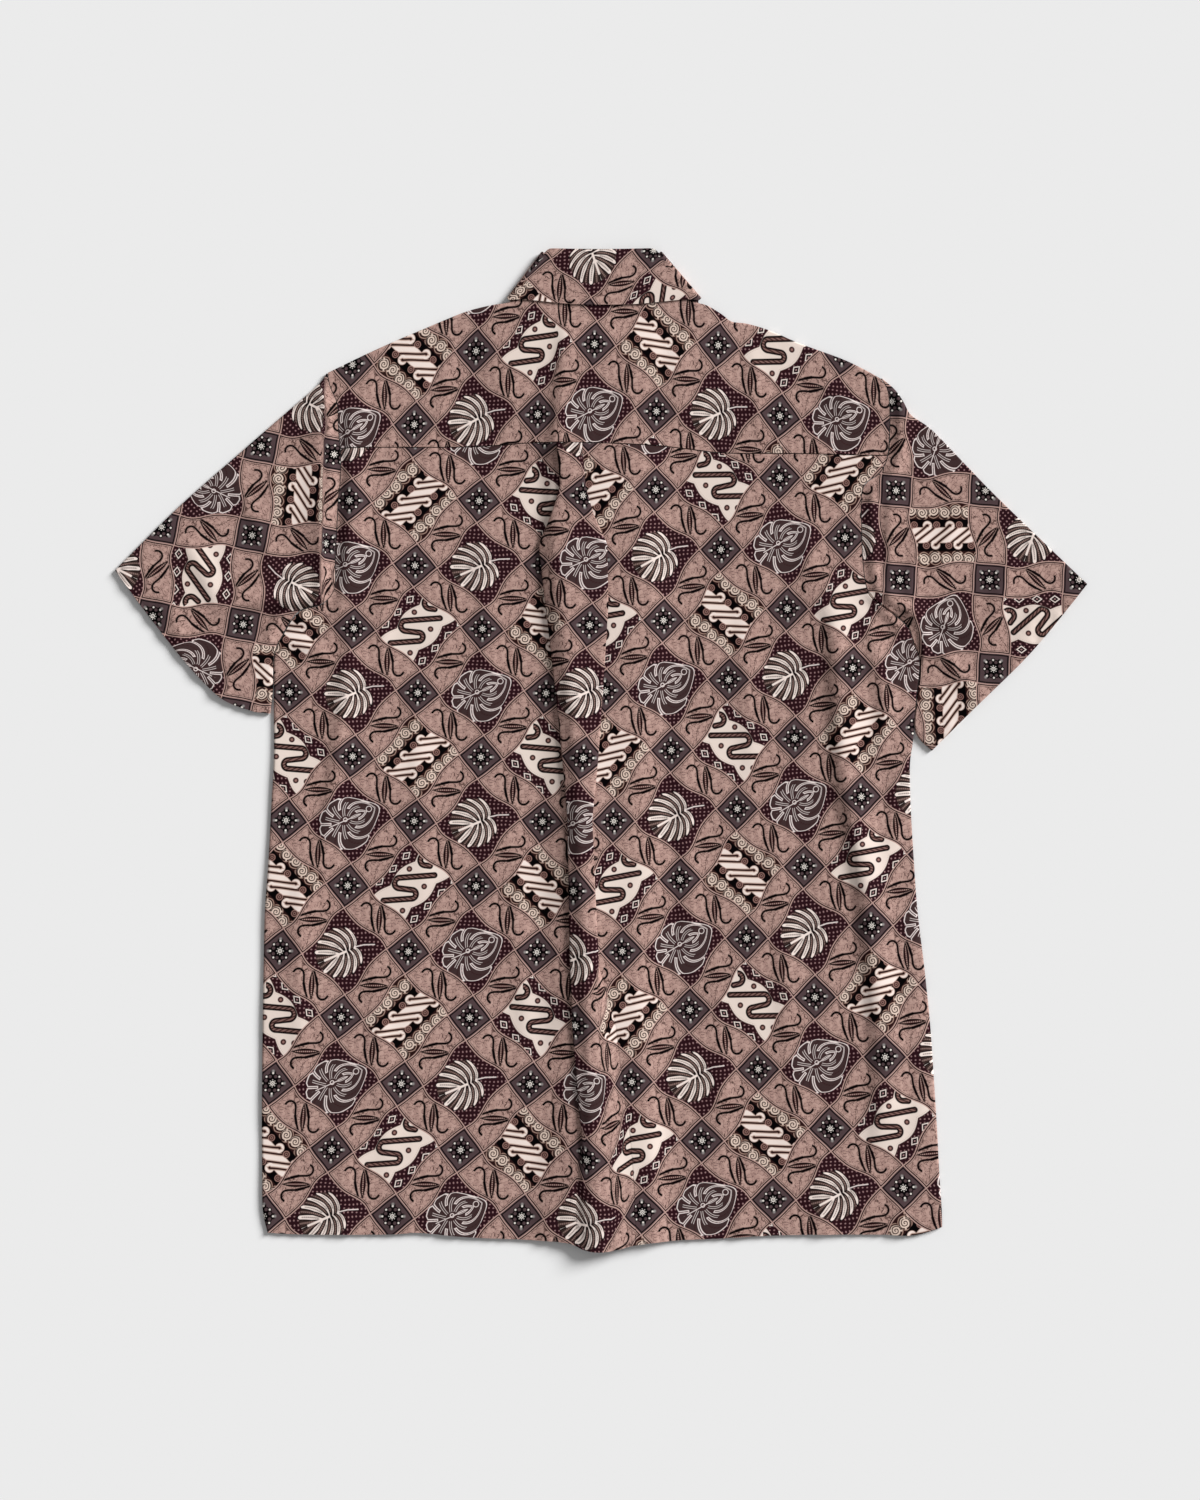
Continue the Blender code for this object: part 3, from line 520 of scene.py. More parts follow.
def draw_blades(colour, mask, u, v):
    """Slanting S-shaped blades with hooked ends between two strips of scrolls."""
    side = Reading.maths("SIGN", u)
    out = abs(u)
    row = v * side
    slant = u * 0.8 + v * 0.6 - (u * out) * out * 6.7
    turned = (slant * side + BLADE_PITCH * 0.3) % (BLADE_PITCH * 0.6) - BLADE_PITCH * 0.3
    near = (row - HOOK[1] + BLADE_PITCH / 2) % BLADE_PITCH - BLADE_PITCH / 2
    hook = away(place(out, near), HOOK[0], 0.0)
    body = least(out - 0.088, hook - 0.052)
    own = least(most(abs(turned - 0.031), out - HOOK[0]), hook - 0.005)
    other = abs(turned + 0.031) + inside(hook, 0.05) * 0.03
    line = least(own, other)
    ring = away(place(out, (row - 0.062 + BLADE_PITCH / 2) % BLADE_PITCH - BLADE_PITCH / 2), 0.116, 0.0)
    colour = lay(
        paint(colour, BLACK, mask), mask,
        (BROWN_DEEP, inside(body, 0.005)), (BROWN_PALE, inside(most(body, 0.0095 - line))),
        (CREAM, inside(most(body + 0.004, 0.0175 - line), 0.0, 0.012)),
        (BROWN_DEEP, inside(ring, 0.032)),
        (BROWN, inside(least(abs(ring - 0.033) - 0.005, abs(ring - 0.013) - 0.004))),
    )
    strip = inside(-out, -0.178) * mask
    shifted = v + 0.032
    odd = Reading.maths("FLOOR", shifted / SCROLL_PITCH) % 2.0 * 2.0 - 1.0
    row = shifted % SCROLL_PITCH - SCROLL_PITCH / 2
    x = out - 0.262 + odd * 0.011 * side
    radius = (x * x + row * row) ** 0.5
    radius = radius * 0.8 + (abs(x) + abs(row)) * 0.16
    angle = Reading.maths("ARCTAN2", row, x * side) / (2 * math.pi)
    coil = abs(ramp_wave(angle - radius / 0.0285, 1.0) - 0.5)
    scroll = inside(radius, 0.0585)
    bar = most(abs(x * side + row * odd * 1.15) * 0.66 - 0.0085, 0.044 - radius, radius - 0.072)
    return lay(
        paint(colour, BROWN_DEEP, strip), strip,
        (BROWN_PALE, inside(abs(radius - 0.078) - 0.004)), (BROWN_DEEP, scroll),
        (PINK_CREAM, inside(coil, 0.31, 0.2) * scroll), (PINK_CREAM, inside(bar)),
    )


print("blades: ready")


# %% The cloud bands
def draw_clouds(colour, mask, u, v):
    """A pale cloud band with a curling brown line, and rows of small diamonds beside it."""
    scallop = abs(Reading.maths("SINE", (u + 0.208) * (math.pi / 0.373)))
    out = abs(v)
    edge = out - (scallop * 0.052 + 0.168)
    diamond = abs(ramp_wave(u, 0.2, 0.02)) * 0.72 + abs(out - 0.283)
    colour = lay(
        colour, mask, (INK, inside(diamond, 0.052)), (CREAM, inside(abs(diamond - 0.037), 0.006)),
        (MAROON_DOT, inside(diamond, 0.01)), (INK_BROWN, inside(edge, 0.012)),
    )
    cloud = inside(edge) * mask
    speck = inside(abs(edge + 0.016), 0.0025, 0.005) * inside(ramp_wave(u, 0.02), 0.005)
    point = place(u, v)
    strokes = [
        from_stroke(point, start, end) for start, end in (
            ((-0.257, 0.090), (0.035, -0.160)), ((0.118, -0.080), (0.025, 0.037)),
            ((0.092, 0.102), (0.330, -0.102)), ((-0.257, -0.060), (-0.29, -0.018)),
        )
    ]
    turns = [
        from_turn(point, centre, radius, facing) for centre, radius, facing in (
            ((0.073, -0.116), 0.058, (0.69, -0.72)), ((0.062, 0.066), 0.047, (-0.69, 0.72)),
            ((-0.300, -0.100), 0.058, (0.69, -0.72)),
        )
    ]
    snake = least(*strokes, *turns)
    beads = inside(ramp_wave(u + v * 0.4, 0.03), 0.008) * inside(snake, 0.011)
    middles = ((-0.107, -0.154), (-0.093, 0.10), (0.252, 0.126), (0.345, 0.05))
    dots = least(*(away(point, *middle) for middle in middles))
    return lay(
        paint(colour, CREAM_LIGHT, cloud), cloud,
        (BROWN, speck * 0.5), (INK, inside(snake, 0.034)), (SNAKE, inside(snake, 0.0175)),
        (BROWN, beads * 0.75), (INK_BROWN, inside(dots, 0.032)), (BROWN, inside(dots, 0.013, 0.014)),
    )


print("clouds: ready")


# %% The whole print
def draw_print(i, j):
    """Colour of the print at a place in the lattice."""
    cell_i = Reading.maths("FLOOR", i)
    cell_j = Reading.maths("FLOOR", j)
    across_i = i - cell_i - 0.5
    across_j = j - cell_j - 0.5
    near_i, near_j, off_i, off_j = lattice(i, j)
    level = inside(off_j)
    upright = inside(off_i)
    square = level * upright
    colour = draw_bands(near_i, near_j, level, across_i, across_j)
    colour = draw_square(colour, square, near_i, near_j)
    large = (1.0 - level) * (1.0 - upright)
    odd_i = cell_i % 2.0
    odd_j = cell_j % 2.0
    jog = Reading.maths("SINE", (i + j * 2.3) * 17.0) * 0.008
    dots = place(ramp_wave(i + j + jog, 0.064), ramp_wave(i - j + jog, 0.064))
    specks = inside(away(dots, 0.0, 0.0), 0.0105, 0.015)
    colour = lay(paint(colour, MAROON, large), large, (MAROON_DOT, specks))
    point = place(across_i, across_j)
    colour = draw_solid_leaf(colour, large * odd_i * odd_j, point)
    colour = draw_outline_leaf(colour, large * (1.0 - odd_i) * (1.0 - odd_j), point)
    turned = ((cell_i + cell_j + 1.0) * 0.5) % 2.0
    u = choose(turned, across_i, across_j)
    v = choose(turned, across_j, across_i)
    colour = draw_blades(colour, large * (1.0 - odd_i) * odd_j, u, v)
    colour = draw_clouds(colour, large * odd_i * (1.0 - odd_j), u, v)
    lines = least(abs(off_i), abs(off_j))
    band = level + upright - square * 2.0
    return lay(
        colour, None,
        (LINE_DARK, inside(abs(lines - 0.0125), 0.0065, 0.006) * band),
        (LINE_PALE, inside(abs(lines - 0.0235), 0.0030, 0.006) * band * 0.5),
        (LINE_DARK, inside(abs(lines - 0.0315), 0.0030, 0.006) * band * 0.7),
        (BLACK, inside(abs(lines - 0.0195), 0.0065) * square),
        (LINE_PALE, inside(lines, 0.0050, 0.006)),
    )


# %% Printed cotton
WEAVE_PITCH = 0.0011
MOTTLE_SCALE = 38.0
SLUB_SCALE = 420.0
COTTON_SHEEN = 0.03


def cotton(name):
    """Plain-woven cotton with the print, a fine weave and a soft matt surface."""
    material, shader = start_material(name)
    i, j = apart(Reading.node("ShaderNodeUVMap", {"uv_map": "print"}))
    where = Reading.node("ShaderNodeTexCoord", output=3)
    sockets = {"Vector": where, "Scale": MOTTLE_SCALE, "Detail": 3.0}
    mottle = Reading.node("ShaderNodeTexNoise", None, sockets)
    colour = Reading.vector("MULTIPLY", draw_print(i, j), mottle * 0.14 + 0.93)
    x, y = apart(where)
    sockets = {"Vector": where, "Scale": SLUB_SCALE, "Detail": 2.0}
    slub = Reading.node("ShaderNodeTexNoise", None, sockets)
    height = (wave(x, WEAVE_PITCH) * wave(y, WEAVE_PITCH)) * 0.35 + slub * 0.9
    sockets = {"Strength": 0.16, "Distance": 0.0006, "Height": height}
    finish_material(shader, colour, slub * 0.10 + 0.84)
    Reading.tree.links.new(Reading.node("ShaderNodeBump", None, sockets).socket, shader.inputs["Normal"])
    shader.inputs["Metallic"].default_value = 0.0
    shader.inputs["Specular IOR Level"].default_value = COTTON_SHEEN
    return material


printed_cotton = cotton("printed_cotton")
print("printed cotton:", len(printed_cotton.node_tree.nodes), "nodes")

# %% [markdown]
# ## The shirt's plan
#
# A shirt is cut flat and sewn at its edges, so the lesson starts from the plan: sections
# from the shoulders to the hem, the edges that join them, and the pleat. Lengths are in
# millimetres, X across, Y towards the collar and Z up. The pieces lie on each other in
# this order: collar wings and buttons, left front, right front, back and yoke, the tucks of
# the pleat, and the collar's back leaf.

# %% Sizes
MM = 0.001
WALL = 0.8
HALF_WALL = WALL / 2
SEAM_GAP = 0.4
ARMHOLE_GAP = 0.7
STEP = 3.6

FRONT_Z = 0.5
LAYER = 2.2
BACK_Z = FRONT_Z + LAYER
CENTRE = 2.6
OVERLAP = 15.0
BUTTON_RADIUS = 5.6
BUTTON_THICKNESS = 2.2
COLLAR_BUTTON_Y = 295.5
FIRST_BUTTON_Y = 226.0
BUTTON_PITCH = 88.0
FRONT_BUTTONS = 6
LEFT_FRONT_LIFT = 2.6
RIGHT_FRONT_LIFT = 4.0
LIFT_INNER = 22.0
LIFT_OUTER = 56.0
LIFT_TOP = (318.0, 350.0)
WING_LIFT = 1.5
WING_BED_CENTRE = (2.4, 330.0)
WING_BED_RADII = (75.0, 85.0)
WING_BED_EDGE = (1.1, 1.5)
TUCK_STEP = 1.4
TUCK_RADIUS = TUCK_STEP / 2
ROLL_RADIUS = 1.4
ROLL_INSET = 1.35
SLEEVE_BEND = LAYER / 2
print("wall:", WALL, "mm")

# %% Sections and edges
# Each section: where it meets the left and the right outline, how far the front's inner
# edge is from the centre, where that edge is, and whether the back's edge rolls down there.
SECTIONS = [
    (-218.4, 301.6, 223.2, 296.8, 65, 358.4, 0),
    (-216, 290, 228.5, 288.5, 64.6, 345.2, 0),
    (-210.4, 276.8, 230.4, 274.4, 53.6, 322, 0),
    (-209.6, 258, 230.4, 254.4, 32, 297, 0),
    (-208, 240.8, 229, 235.2, 12, 286.8, 0),
    (-207.6, 220, 222.4, 221.6, -OVERLAP, 283.6, 0),
    (-209.6, 200, 208.8, 209, -OVERLAP, 250, 0),
    (-210.8, 176, 208, 176, -OVERLAP, 212, 0),
    (-212, 152, 209, 150, -OVERLAP, 178, 0),
    (-212.8, 128.8, 212, 129.6, -OVERLAP, 148, 0),
    (-223.2, 116, 218.4, 119.2, -OVERLAP, 126, 0),
    (-240.8, 110.4, 243.2, 100, -OVERLAP, 108, 0),
    (-253.6, 92, 249.8, 84, -OVERLAP, 90, 0),
    (-260.8, 76, 254.6, 70, -OVERLAP, 70, 0.5),
    (-261.4, 50, 252, 40, -OVERLAP, 42, 1),
    (-261.6, 29, 249.6, 8.8, -OVERLAP, 14, 1),
    (-261.6, -8, 247, -12, -OVERLAP, -10, 1),
    (-263.6, -45, 247.6, -45, -OVERLAP, -45, 1),
    (-266, -90, 250.2, -90, -OVERLAP, -90, 1),
    (-268.8, -130, 253.2, -130, -OVERLAP, -130, 1),
    (-269.8, -175, 258.6, -175, -OVERLAP, -175, 1),
    (-270.5, -220, 263.2, -220, -OVERLAP, -220, 1),
    (-271, -265, 266.3, -265, -OVERLAP, -265, 1),
    (-271.2, -305, 268.8, -305, -OVERLAP, -305, 1),
    (-270.9, -340, 270.6, -340, -OVERLAP, -340, 1),
    (-270.4, -368, 272.4, -366, -OVERLAP, -367, 1),
    (-266.6, -385.8, 272.8, -381.2, -OVERLAP, -387, 1),
]
YOKE_SEAM_ROW = 4
ARMPIT_ROW = 9
UNDERARM_ROW = 12
YOKE_TOP_SHARE = 0.93
YOKE_SEAM = [
    (-208, 240.8), (-184.8, 241.9), (-122.4, 241.9), (-84.8, 243.2), (-54.4, 245.4), (-12.8, 245.4),
    (43.2, 243.2), (78.4, 239.4), (102.4, 237.2), (164, 236.8), (192, 236), (229, 235.2),
]
HEM = [
    (-266.6, -385.8), (-236, -387.2), (-168.8, -387.2), (-146.4, -385.8), (-107.2, -389.4),
    (-64, -391.2), (-27.2, -393.6), (-13.6, -398.9), (-0.8, -400.6), (14.4, -398.4), (28.8, -395.2),
    (59.2, -392), (95.2, -390.4), (147.2, -387.7), (219.2, -387.2), (249.6, -387.8),
    (272.8, -381.2),
]
LEFT_SHOULDER = [
    (-218.4, 301.6), (-190.4, 315.2), (-164, 327.2), (-143.2, 336), (-110.4, 349.6), (-90.4, 355),
    (-78, 356.8),
]
RIGHT_SHOULDER = [
    (223.2, 296.8), (210.4, 304), (192, 312.8), (159.2, 324.8), (135.2, 335.2), (116.8, 340.8),
    (104, 342.6), (96.8, 348), (84.8, 355.2), (79, 356.8),
]
LEFT_SLEEVE_FOLD = [(-225, 293), (-248, 272.8), (-284, 241.6), (-337.6, 194.4), (-388.4, 144)]
LEFT_CUFF = [(-368.8, 116.8), (-344.8, 85.6), (-324, 60.8), (-301.6, 40), (-276.8, 30.4)]
LEFT_UNDERARM_END = [(-263.6, 29)]
RIGHT_SLEEVE_FOLD = [
    (236, 286.4), (246.4, 268.8), (264, 256), (294.4, 224.8), (320, 198.8), (388.8, 132.8),
]
RIGHT_CUFF = [(345.6, 80), (299.6, 34.4)]
RIGHT_UNDERARM_END = [(250.6, 14), (263.8, -1.2)]
print("sections:", len(SECTIONS))

# %% Pleat
# Down the back: where the box's two folds are, how deep each side is tucked under it, and
# how much of its full height the box keeps. A negative tuck is an open slope of that width.
PLEAT = [
    (244, -35.2, -16.8, 6, 8, 1),
    (210, -31.5, -13.6, 6, 8, 1),
    (188, -38.4, -7.2, 5, 17, 1),
    (164, -48.8, 4, 6, 21, 1),
    (115, -43.2, 4.8, 6, 21, 1),
    (46, -35.2, 0.4, 8, 19, 1),
    (-6, -30, -3.2, 8, 14, 1),
    (-56, -25.6, -8, 6, 8, 1),
    (-112, -24.8, -5.6, 8, 6, 1),
    (-160, -24, -3.2, 8, 2, 1),
    (-220, -22, 0, 7, -12, 1),
    (-266, -18.4, 1.6, 3, -16, 1),
    (-309, -14.4, 5.6, -1, -18, 0.9),
    (-335, -13.6, 8, -6, -18, 0.8),
    (-372, -11, 10, -9, -18, 0.8),
    (-401, -9, 10, -10, -18, 0.9),
]
print("pleat:", len(PLEAT), "rows")

# %% [markdown]
# ## Curves
#
# The plan has few points, and cloth edges are smooth, so every edge is a curve through its
# points. A line that is read by the share of its length makes it easy to fill a field
# between four curved sides, which is how a flat pattern piece takes up its outline.


# %% Curve helpers
def smooth(start, end, value):
    """0 at start, 1 at end, with a soft turn at both."""
    t = np.clip((np.asarray(value, float) - start) / (end - start), 0.0, 1.0)
    return t * t * (3.0 - 2.0 * t)


def through(rows, at):
    """Rows of numbers read at whole and part row numbers, by a smooth curve through them."""
    rows = np.asarray(rows, float)
    at = np.clip(np.asarray(at, float), 0.0, len(rows) - 1.0)
    first = np.minimum(at.astype(int), len(rows) - 2)
    t = (at - first)[:, None]
    a, b, c, d = (rows[np.clip(first + k, 0, len(rows) - 1)] for k in (-1, 0, 1, 2))
    bend = (2 * a - 5 * b + 4 * c - d) * t**2 + (3 * b - a - 3 * c + d) * t**3
    return 0.5 * (2 * b + (c - a) * t + bend)


def strides(points, step=STEP):
    """Row numbers that walk along the points in strides of about step."""
    at = [0.0]
    for i, span in enumerate(np.linalg.norm(np.diff(np.asarray(points, float), axis=0), axis=1)):
        parts = max(int(math.ceil(span / step)), 1)
        at += [i + (k + 1) / parts for k in range(parts)]
    return np.array(at)


def curve(points, step=STEP):
    """A smooth curve through the points, as closely spaced points."""
    return through(points, strides(points, step))


def read_edge(points, x):
    """Height in plan of an edge that runs across the shirt, at places along it."""
    fine = curve(points, 2.0)
    order = np.argsort(fine[:, 0])
    return np.interp(x, fine[order, 0], fine[order, 1])


print("hem:", len(curve(HEM)), "points")


# %% Lines and fields
class Line:
    """A line through points in plan, read by the share of its length."""

    def __init__(self, points):
        self.points = np.asarray(points, float)
        spans = np.linalg.norm(np.diff(self.points, axis=0), axis=1)
        self.reach = np.concatenate([[0.0], np.cumsum(spans)])

    def shares(self):
        return self.reach / self.reach[-1]

    def at(self, share):
        wanted = np.clip(share, 0.0, 1.0) * self.reach[-1]
        return np.stack([np.interp(wanted, self.reach, self.points[:, k]) for k in (0, 1)], axis=-1)

    def moved(self, distance):
        """The same line moved sideways, to the left of its direction."""
        ahead = np.gradient(self.points, axis=0)
        ahead /= np.linalg.norm(ahead, axis=1)[:, None]
        return Line(self.points + np.stack([-ahead[:, 1], ahead[:, 0]], axis=-1) * distance)

    def distance(self, x, y):
        """How far places in plan are from the line."""
        place_xy = np.stack([x, y], axis=-1)
        best = np.full(np.shape(x), np.inf)
        for a, b in zip(self.points, self.points[1:]):
            run = b - a
            t = np.clip((place_xy - a) @ run / (run @ run), 0.0, 1.0)
            best = np.minimum(best, np.linalg.norm(place_xy - a - t[..., None] * run, axis=-1))
        return best


def four_sided(first, last, low, high, u, v):
    """Points in a field with four curved sides, at one u and many v, or at many u and one v."""
    u = np.asarray(u, float)[..., None]
    v = np.asarray(v, float)[..., None]
    corners = first.at(0.0) * (1 - u) * (1 - v) + last.at(0.0) * u * (1 - v)
    corners = corners + first.at(1.0) * (1 - u) * v + last.at(1.0) * u * v
    across = first.at(v[..., 0]) * (1 - u) + last.at(v[..., 0]) * u
    up = low.at(u[..., 0]) * (1 - v) + high.at(u[..., 0]) * v
    return across + up - corners


SECTION_ROWS = np.array(SECTIONS)
section_middles = (SECTION_ROWS[:, :2] + SECTION_ROWS[:, 2:4]) / 2
print("sections:", SECTION_ROWS.shape)

# %% [markdown]
# ## Folds
#
# Cotton that has been worn and then smoothed out by hand keeps low soft folds: ridges where
# it is pushed together, and shallow troughs where it is pulled. They are placed one by one
# and are all uneven. Seams pucker: their stitches shorten the cloth, so a hem ripples.

# %% Table of folds
# Each fold: how soft it is on the left and the right of its way, and its crest: points in
# plan, each with the height that the crest has there.
FOLDS = [
    # The deep one down the right side, and the one beside it
    (17, 7, [
        (178, 144, 0), (182, 118, 3.2), (187, 84, 5.6), (189, 48, 6), (191, 8, 5.2), (195, -28, 5.4),
        (203, -67, 5.8), (211, -115, 5.5), (214, -148, 4.8), (218, -184, 4.7), (223, -240, 4.2),
        (223, -285, 2.9), (220, -336, 0),
    ]),
    (9, 5, [(211, 116, 0), (214, 98, 1.7), (218, 78, 2.6), (226, 32, 2.8), (222, 0, 2), (215, -32, 0)]),
    # Beside the armholes, where the sleeves pull
    (12, 5.5, [
        (-204, 290, 0), (-200, 264, 2), (-199, 236, 3), (-200, 200, 3.5), (-202, 160, 3.4),
        (-203, 132, 2.8), (-208, 108, 1.6), (-212, 88, 0),
    ]),
    (3.2, 11, [
        (-227, 286, 0), (-226, 262, 2.2), (-225.5, 220, 2.7), (-225, 170, 2.6), (-224, 135, 2.1),
        (-222, 112, 0),
    ]),
    (10, 3.2, [(231, 222, 0), (230, 200, 2.1), (229.5, 160, 2.5), (230.5, 125, 1.8), (233, 106, 0)]),
    (11, 5, [
        (-199, 104, 0), (-202, 84, 2.1), (-208, 26, 2.7), (-215, -30, 2.4), (-220, -70, 1.5),
        (-225, -112, 0),
    ]),
    # Crumples under the arms
    (9, 4.2, [
        (-303, 110, 0), (-283, 116, 2.2), (-262, 117.5, 3.4), (-246, 117, 3.3), (-232, 119, 2.6),
        (-219, 123, 0),
    ]),
    (5, 4, [(-252, 98, 0), (-243, 103, 2), (-234, 104, 2.3), (-224, 99, 0)]),
    (6, 4, [(-262, 88, 0), (-240, 84, 1.5), (-216, 70, 1.2), (-200, 52, 0)]),
    (4.5, 4, [(210, 128, 0), (219, 119, 1.9), (230, 107, 2.4), (240, 95, 1.4), (250, 82, 0)]),
    (7, 4.5, [(240, 116, 0), (262, 106, 2.6), (286, 98, 2), (306, 94, 0)]),
    (6, 6, [(250, 66, 0), (236, 58, 1.6), (218, 44, 1), (204, 26, 0)]),
    # The box pleat and the crease above it on the yoke
    (13, 6, [
        (-38, 252, 0.5), (-38, 236, 1.6), (-38, 200, 2.4), (-38, 160, 3), (-36, 121, 2.6),
        (-27, 60, 2.3), (-20, 0, 2.2), (-17, -60, 2.3), (-15, -120, 2.4), (-12, -180, 2.4),
        (-9, -250, 2.3), (-7, -331, 2.1), (-4, -400, 1.4), (-2, -440, 1.2),
    ]),
    (9, 4.5, [
        (-27, 348, 0), (-30, 326, 1.5), (-33, 290, 2.2), (-35, 262, 2.6), (-36, 246, 2.2),
        (-37, 226, 0),
    ]),
    # Long faint ones down the back
    (9, 7, [(-152, 74, 0), (-148, 20, 1), (-143, -70, 0.8), (-140, -150, 0)]),
    (8, 6, [(-98, 196, 0), (-95, 120, 1.1), (-90, 50, 0.7), (-88, 10, 0)]),
    (10, 7, [(-72, -40, 0), (-66, -150, 1.2), (-60, -240, 0.9), (-58, -320, 0)]),
    (9, 8, [(-182, -110, 0), (-178, -220, 1.1), (-172, -300, 0.8), (-168, -372, 0)]),
    (8, 7, [(-236, -50, 0), (-240, -140, 1.4), (-241, -230, 1), (-240, -310, 0)]),
    (11, 8, [(38, 200, 0), (42, 130, 1.3), (46, 60, 1), (48, 0, 0)]),
    (9, 6, [(62, 52, 0), (66, -40, 1.1), (70, -110, 1.3), (74, -190, 0)]),
    (10, 6, [(112, 136, 0), (116, 60, 1.3), (119, 0, 0.9), (120, -50, 0)]),
    (12, 7, [(138, -50, 0), (144, -150, 1.4), (149, -240, 1.1), (152, -340, 0)]),
    (8, 7, [(92, -150, 0), (95, -240, 1), (98, -330, 0.8), (100, -386, 0)]),
    (7, 6, [(248, -120, 0), (251, -190, 1.2), (255, -270, 1), (257, -340, 0)]),
    (8, 6, [(240, 40, 0), (236, -20, 1.5), (232, -80, 1), (230, -120, 0)]),
    (9, 7, [(160, 214, 0), (166, 150, 1.4), (170, 96, 0.9), (172, 60, 0)]),
    (8, 7, [(-168, 206, 0), (-172, 150, 1), (-174, 96, 1.2), (-176, 40, 0)]),
    # Rising from the hem
    (9, 7, [(34, -210, 0), (39, -300, 1.1), (43, -380, 1.7), (45, -430, 1.7)]),
    (8, 6, [(-42, -290, 0), (-44, -350, 0.9), (-46, -400, 1.4), (-47, -430, 1.4)]),
    (9, 6, [(-119, -322, 0), (-121, -370, 0.9), (-122, -430, 1.3)]),
    (7, 8, [(176, -306, 0), (178, -360, 1.1), (181, -430, 1.4)]),
    (8, 6, [(-203, -316, 0), (-206, -366, 1), (-208, -430, 1.2)]),
    (6, 6, [(236, -336, 0), (239, -372, 1), (241, -430, 1.2)]),
    (6, 7, [(112, -346, 0), (113, -380, 0.8), (114, -430, 1)]),
    # On the yoke
    (7, 6, [(118, 332, 0), (122, 300, 1), (127, 262, 0.7), (129, 246, 0)]),
    (7, 6, [(-118, 330, 0), (-124, 298, 0.9), (-129, 268, 0.9), (-131, 248, 0)]),
    (8, 6, [(58, 344, 0), (61, 310, 0.8), (62, 276, 0.6), (62, 252, 0)]),
    (6, 8, [(168, 300, 0), (186, 286, 1.3), (202, 268, 1.2), (212, 250, 0)]),
    (6, 7, [(-170, 302, 0), (-184, 288, 1.2), (-194, 274, 0.8), (-200, 262, 0)]),
    # On the sleeves
    (10, 7, [(-334, 176, 0), (-322, 150, 1.9), (-306, 118, 1.5), (-294, 96, 0)]),
    (8, 6, [(-294, 218, 0), (-280, 190, 1.3), (-266, 160, 1.1), (-258, 140, 0)]),
    (7, 6, [(-356, 128, 0), (-346, 112, 1.1), (-338, 96, 1.1), (-330, 76, 1)]),
    (7, 6, [(-262, 92, 0), (-276, 80, 1.6), (-292, 64, 1.3), (-306, 44, 1.2)]),
    (8, 6, [(300, 214, 0), (284, 186, 1.5), (274, 160, 1.1), (268, 138, 0)]),
    (9, 7, [(334, 160, 0), (322, 132, 1.7), (312, 104, 1.3), (304, 80, 0)]),
    (7, 6, [(356, 130, 0), (346, 110, 1.2), (338, 92, 1.1), (330, 74, 1)]),
    (7, 6, [(262, 88, 0), (276, 74, 1.7), (290, 56, 1.4), (300, 36, 1.2)]),
    (7, 6, [(252, 176, 0), (249, 150, 1.6), (247, 122, 1.4), (246, 104, 0)]),
]
print("folds:", len(FOLDS))

# %% Ridges, puckers and ripples
FOLD_STEP = 9.0
FOLD_REACH = 2.6
ARMHOLE_RIDGE = (9.5, 5.5, 2.8)
PUCKER = 0.34
PUCKER_REACH = 9.0
UNDER_SHARE = 0.35
UNDER_MOST = 0.9
RIPPLE_SEED = 7
RIPPLE_HEIGHT = 0.07
RIPPLE_COUNT = 14
RIPPLE_LENGTHS = (48.0, 120.0)

rng = np.random.default_rng(RIPPLE_SEED)
RIPPLES = []
for _ in range(RIPPLE_COUNT):
    angle = rng.uniform(0.0, math.tau)
    length = rng.uniform(*RIPPLE_LENGTHS)
    RIPPLES.append((angle, length, rng.uniform(0.0, math.tau)))
print("ripples:", len(RIPPLES))


# %% Relief of the folds
def fold_height(fold, x, y):
    """Height of one fold at places in plan."""
    left, right, points = fold
    crest = curve(points, FOLD_STEP)
    reach = FOLD_REACH * max(left, right)
    low, high = crest[:, :2].min(axis=0) - reach, crest[:, :2].max(axis=0) + reach
    near = (x > low[0]) & (x < high[0]) & (y > low[1]) & (y < high[1])
    height = np.zeros(np.shape(x))
    if not near.any():
        return height
    run = np.diff(crest[:, :2], axis=0)
    away_from = np.stack([x[near], y[near]], axis=-1)[:, None] - crest[None, :-1, :2]
    share = np.clip((away_from * run).sum(axis=-1) / (run * run).sum(axis=-1), 0.0, 1.0)
    gap = away_from - share[..., None] * run
    far = np.linalg.norm(gap, axis=-1)
    pick = far.argmin(axis=1)
    row = np.arange(len(pick))
    gap, along_it, run = gap[row, pick], share[row, pick], run[pick]
    side = run[:, 0] * gap[:, 1] - run[:, 1] * gap[:, 0]
    width = np.where(side > 0.0, left, right)
    rise = crest[pick, 2] * (1.0 - along_it) + crest[pick + 1, 2] * along_it
    height[near] = rise * np.exp(-((far[row, pick] / width) ** 2))
    return height


def pucker(x, y, distance):
    """Small ripples beside a seam, which its stitches draw up."""
    wander = 1.9 * np.sin(x * 0.071 + 1.0) + 1.3 * np.sin(x * 0.043 + y * 0.02)
    small = np.sin(x * 0.52 + wander) + 0.7 * np.sin((x + y) * 0.83 + wander * 2.0)
    return PUCKER * small * np.exp(-np.abs(distance) / PUCKER_REACH)


def relief(x, y):
    """Height of the folds that show on the upper cloth."""
    x, y = np.asarray(x, float), np.asarray(y, float)
    height = np.zeros(np.shape(x))
    for fold in FOLDS:
        height = height + fold_height(fold, x, y)
    for angle, length, phase in RIPPLES:
        ahead = x * math.cos(angle) + y * math.sin(angle)
        height = height + RIPPLE_HEIGHT * np.sin(ahead * math.tau / length + phase)
    return height


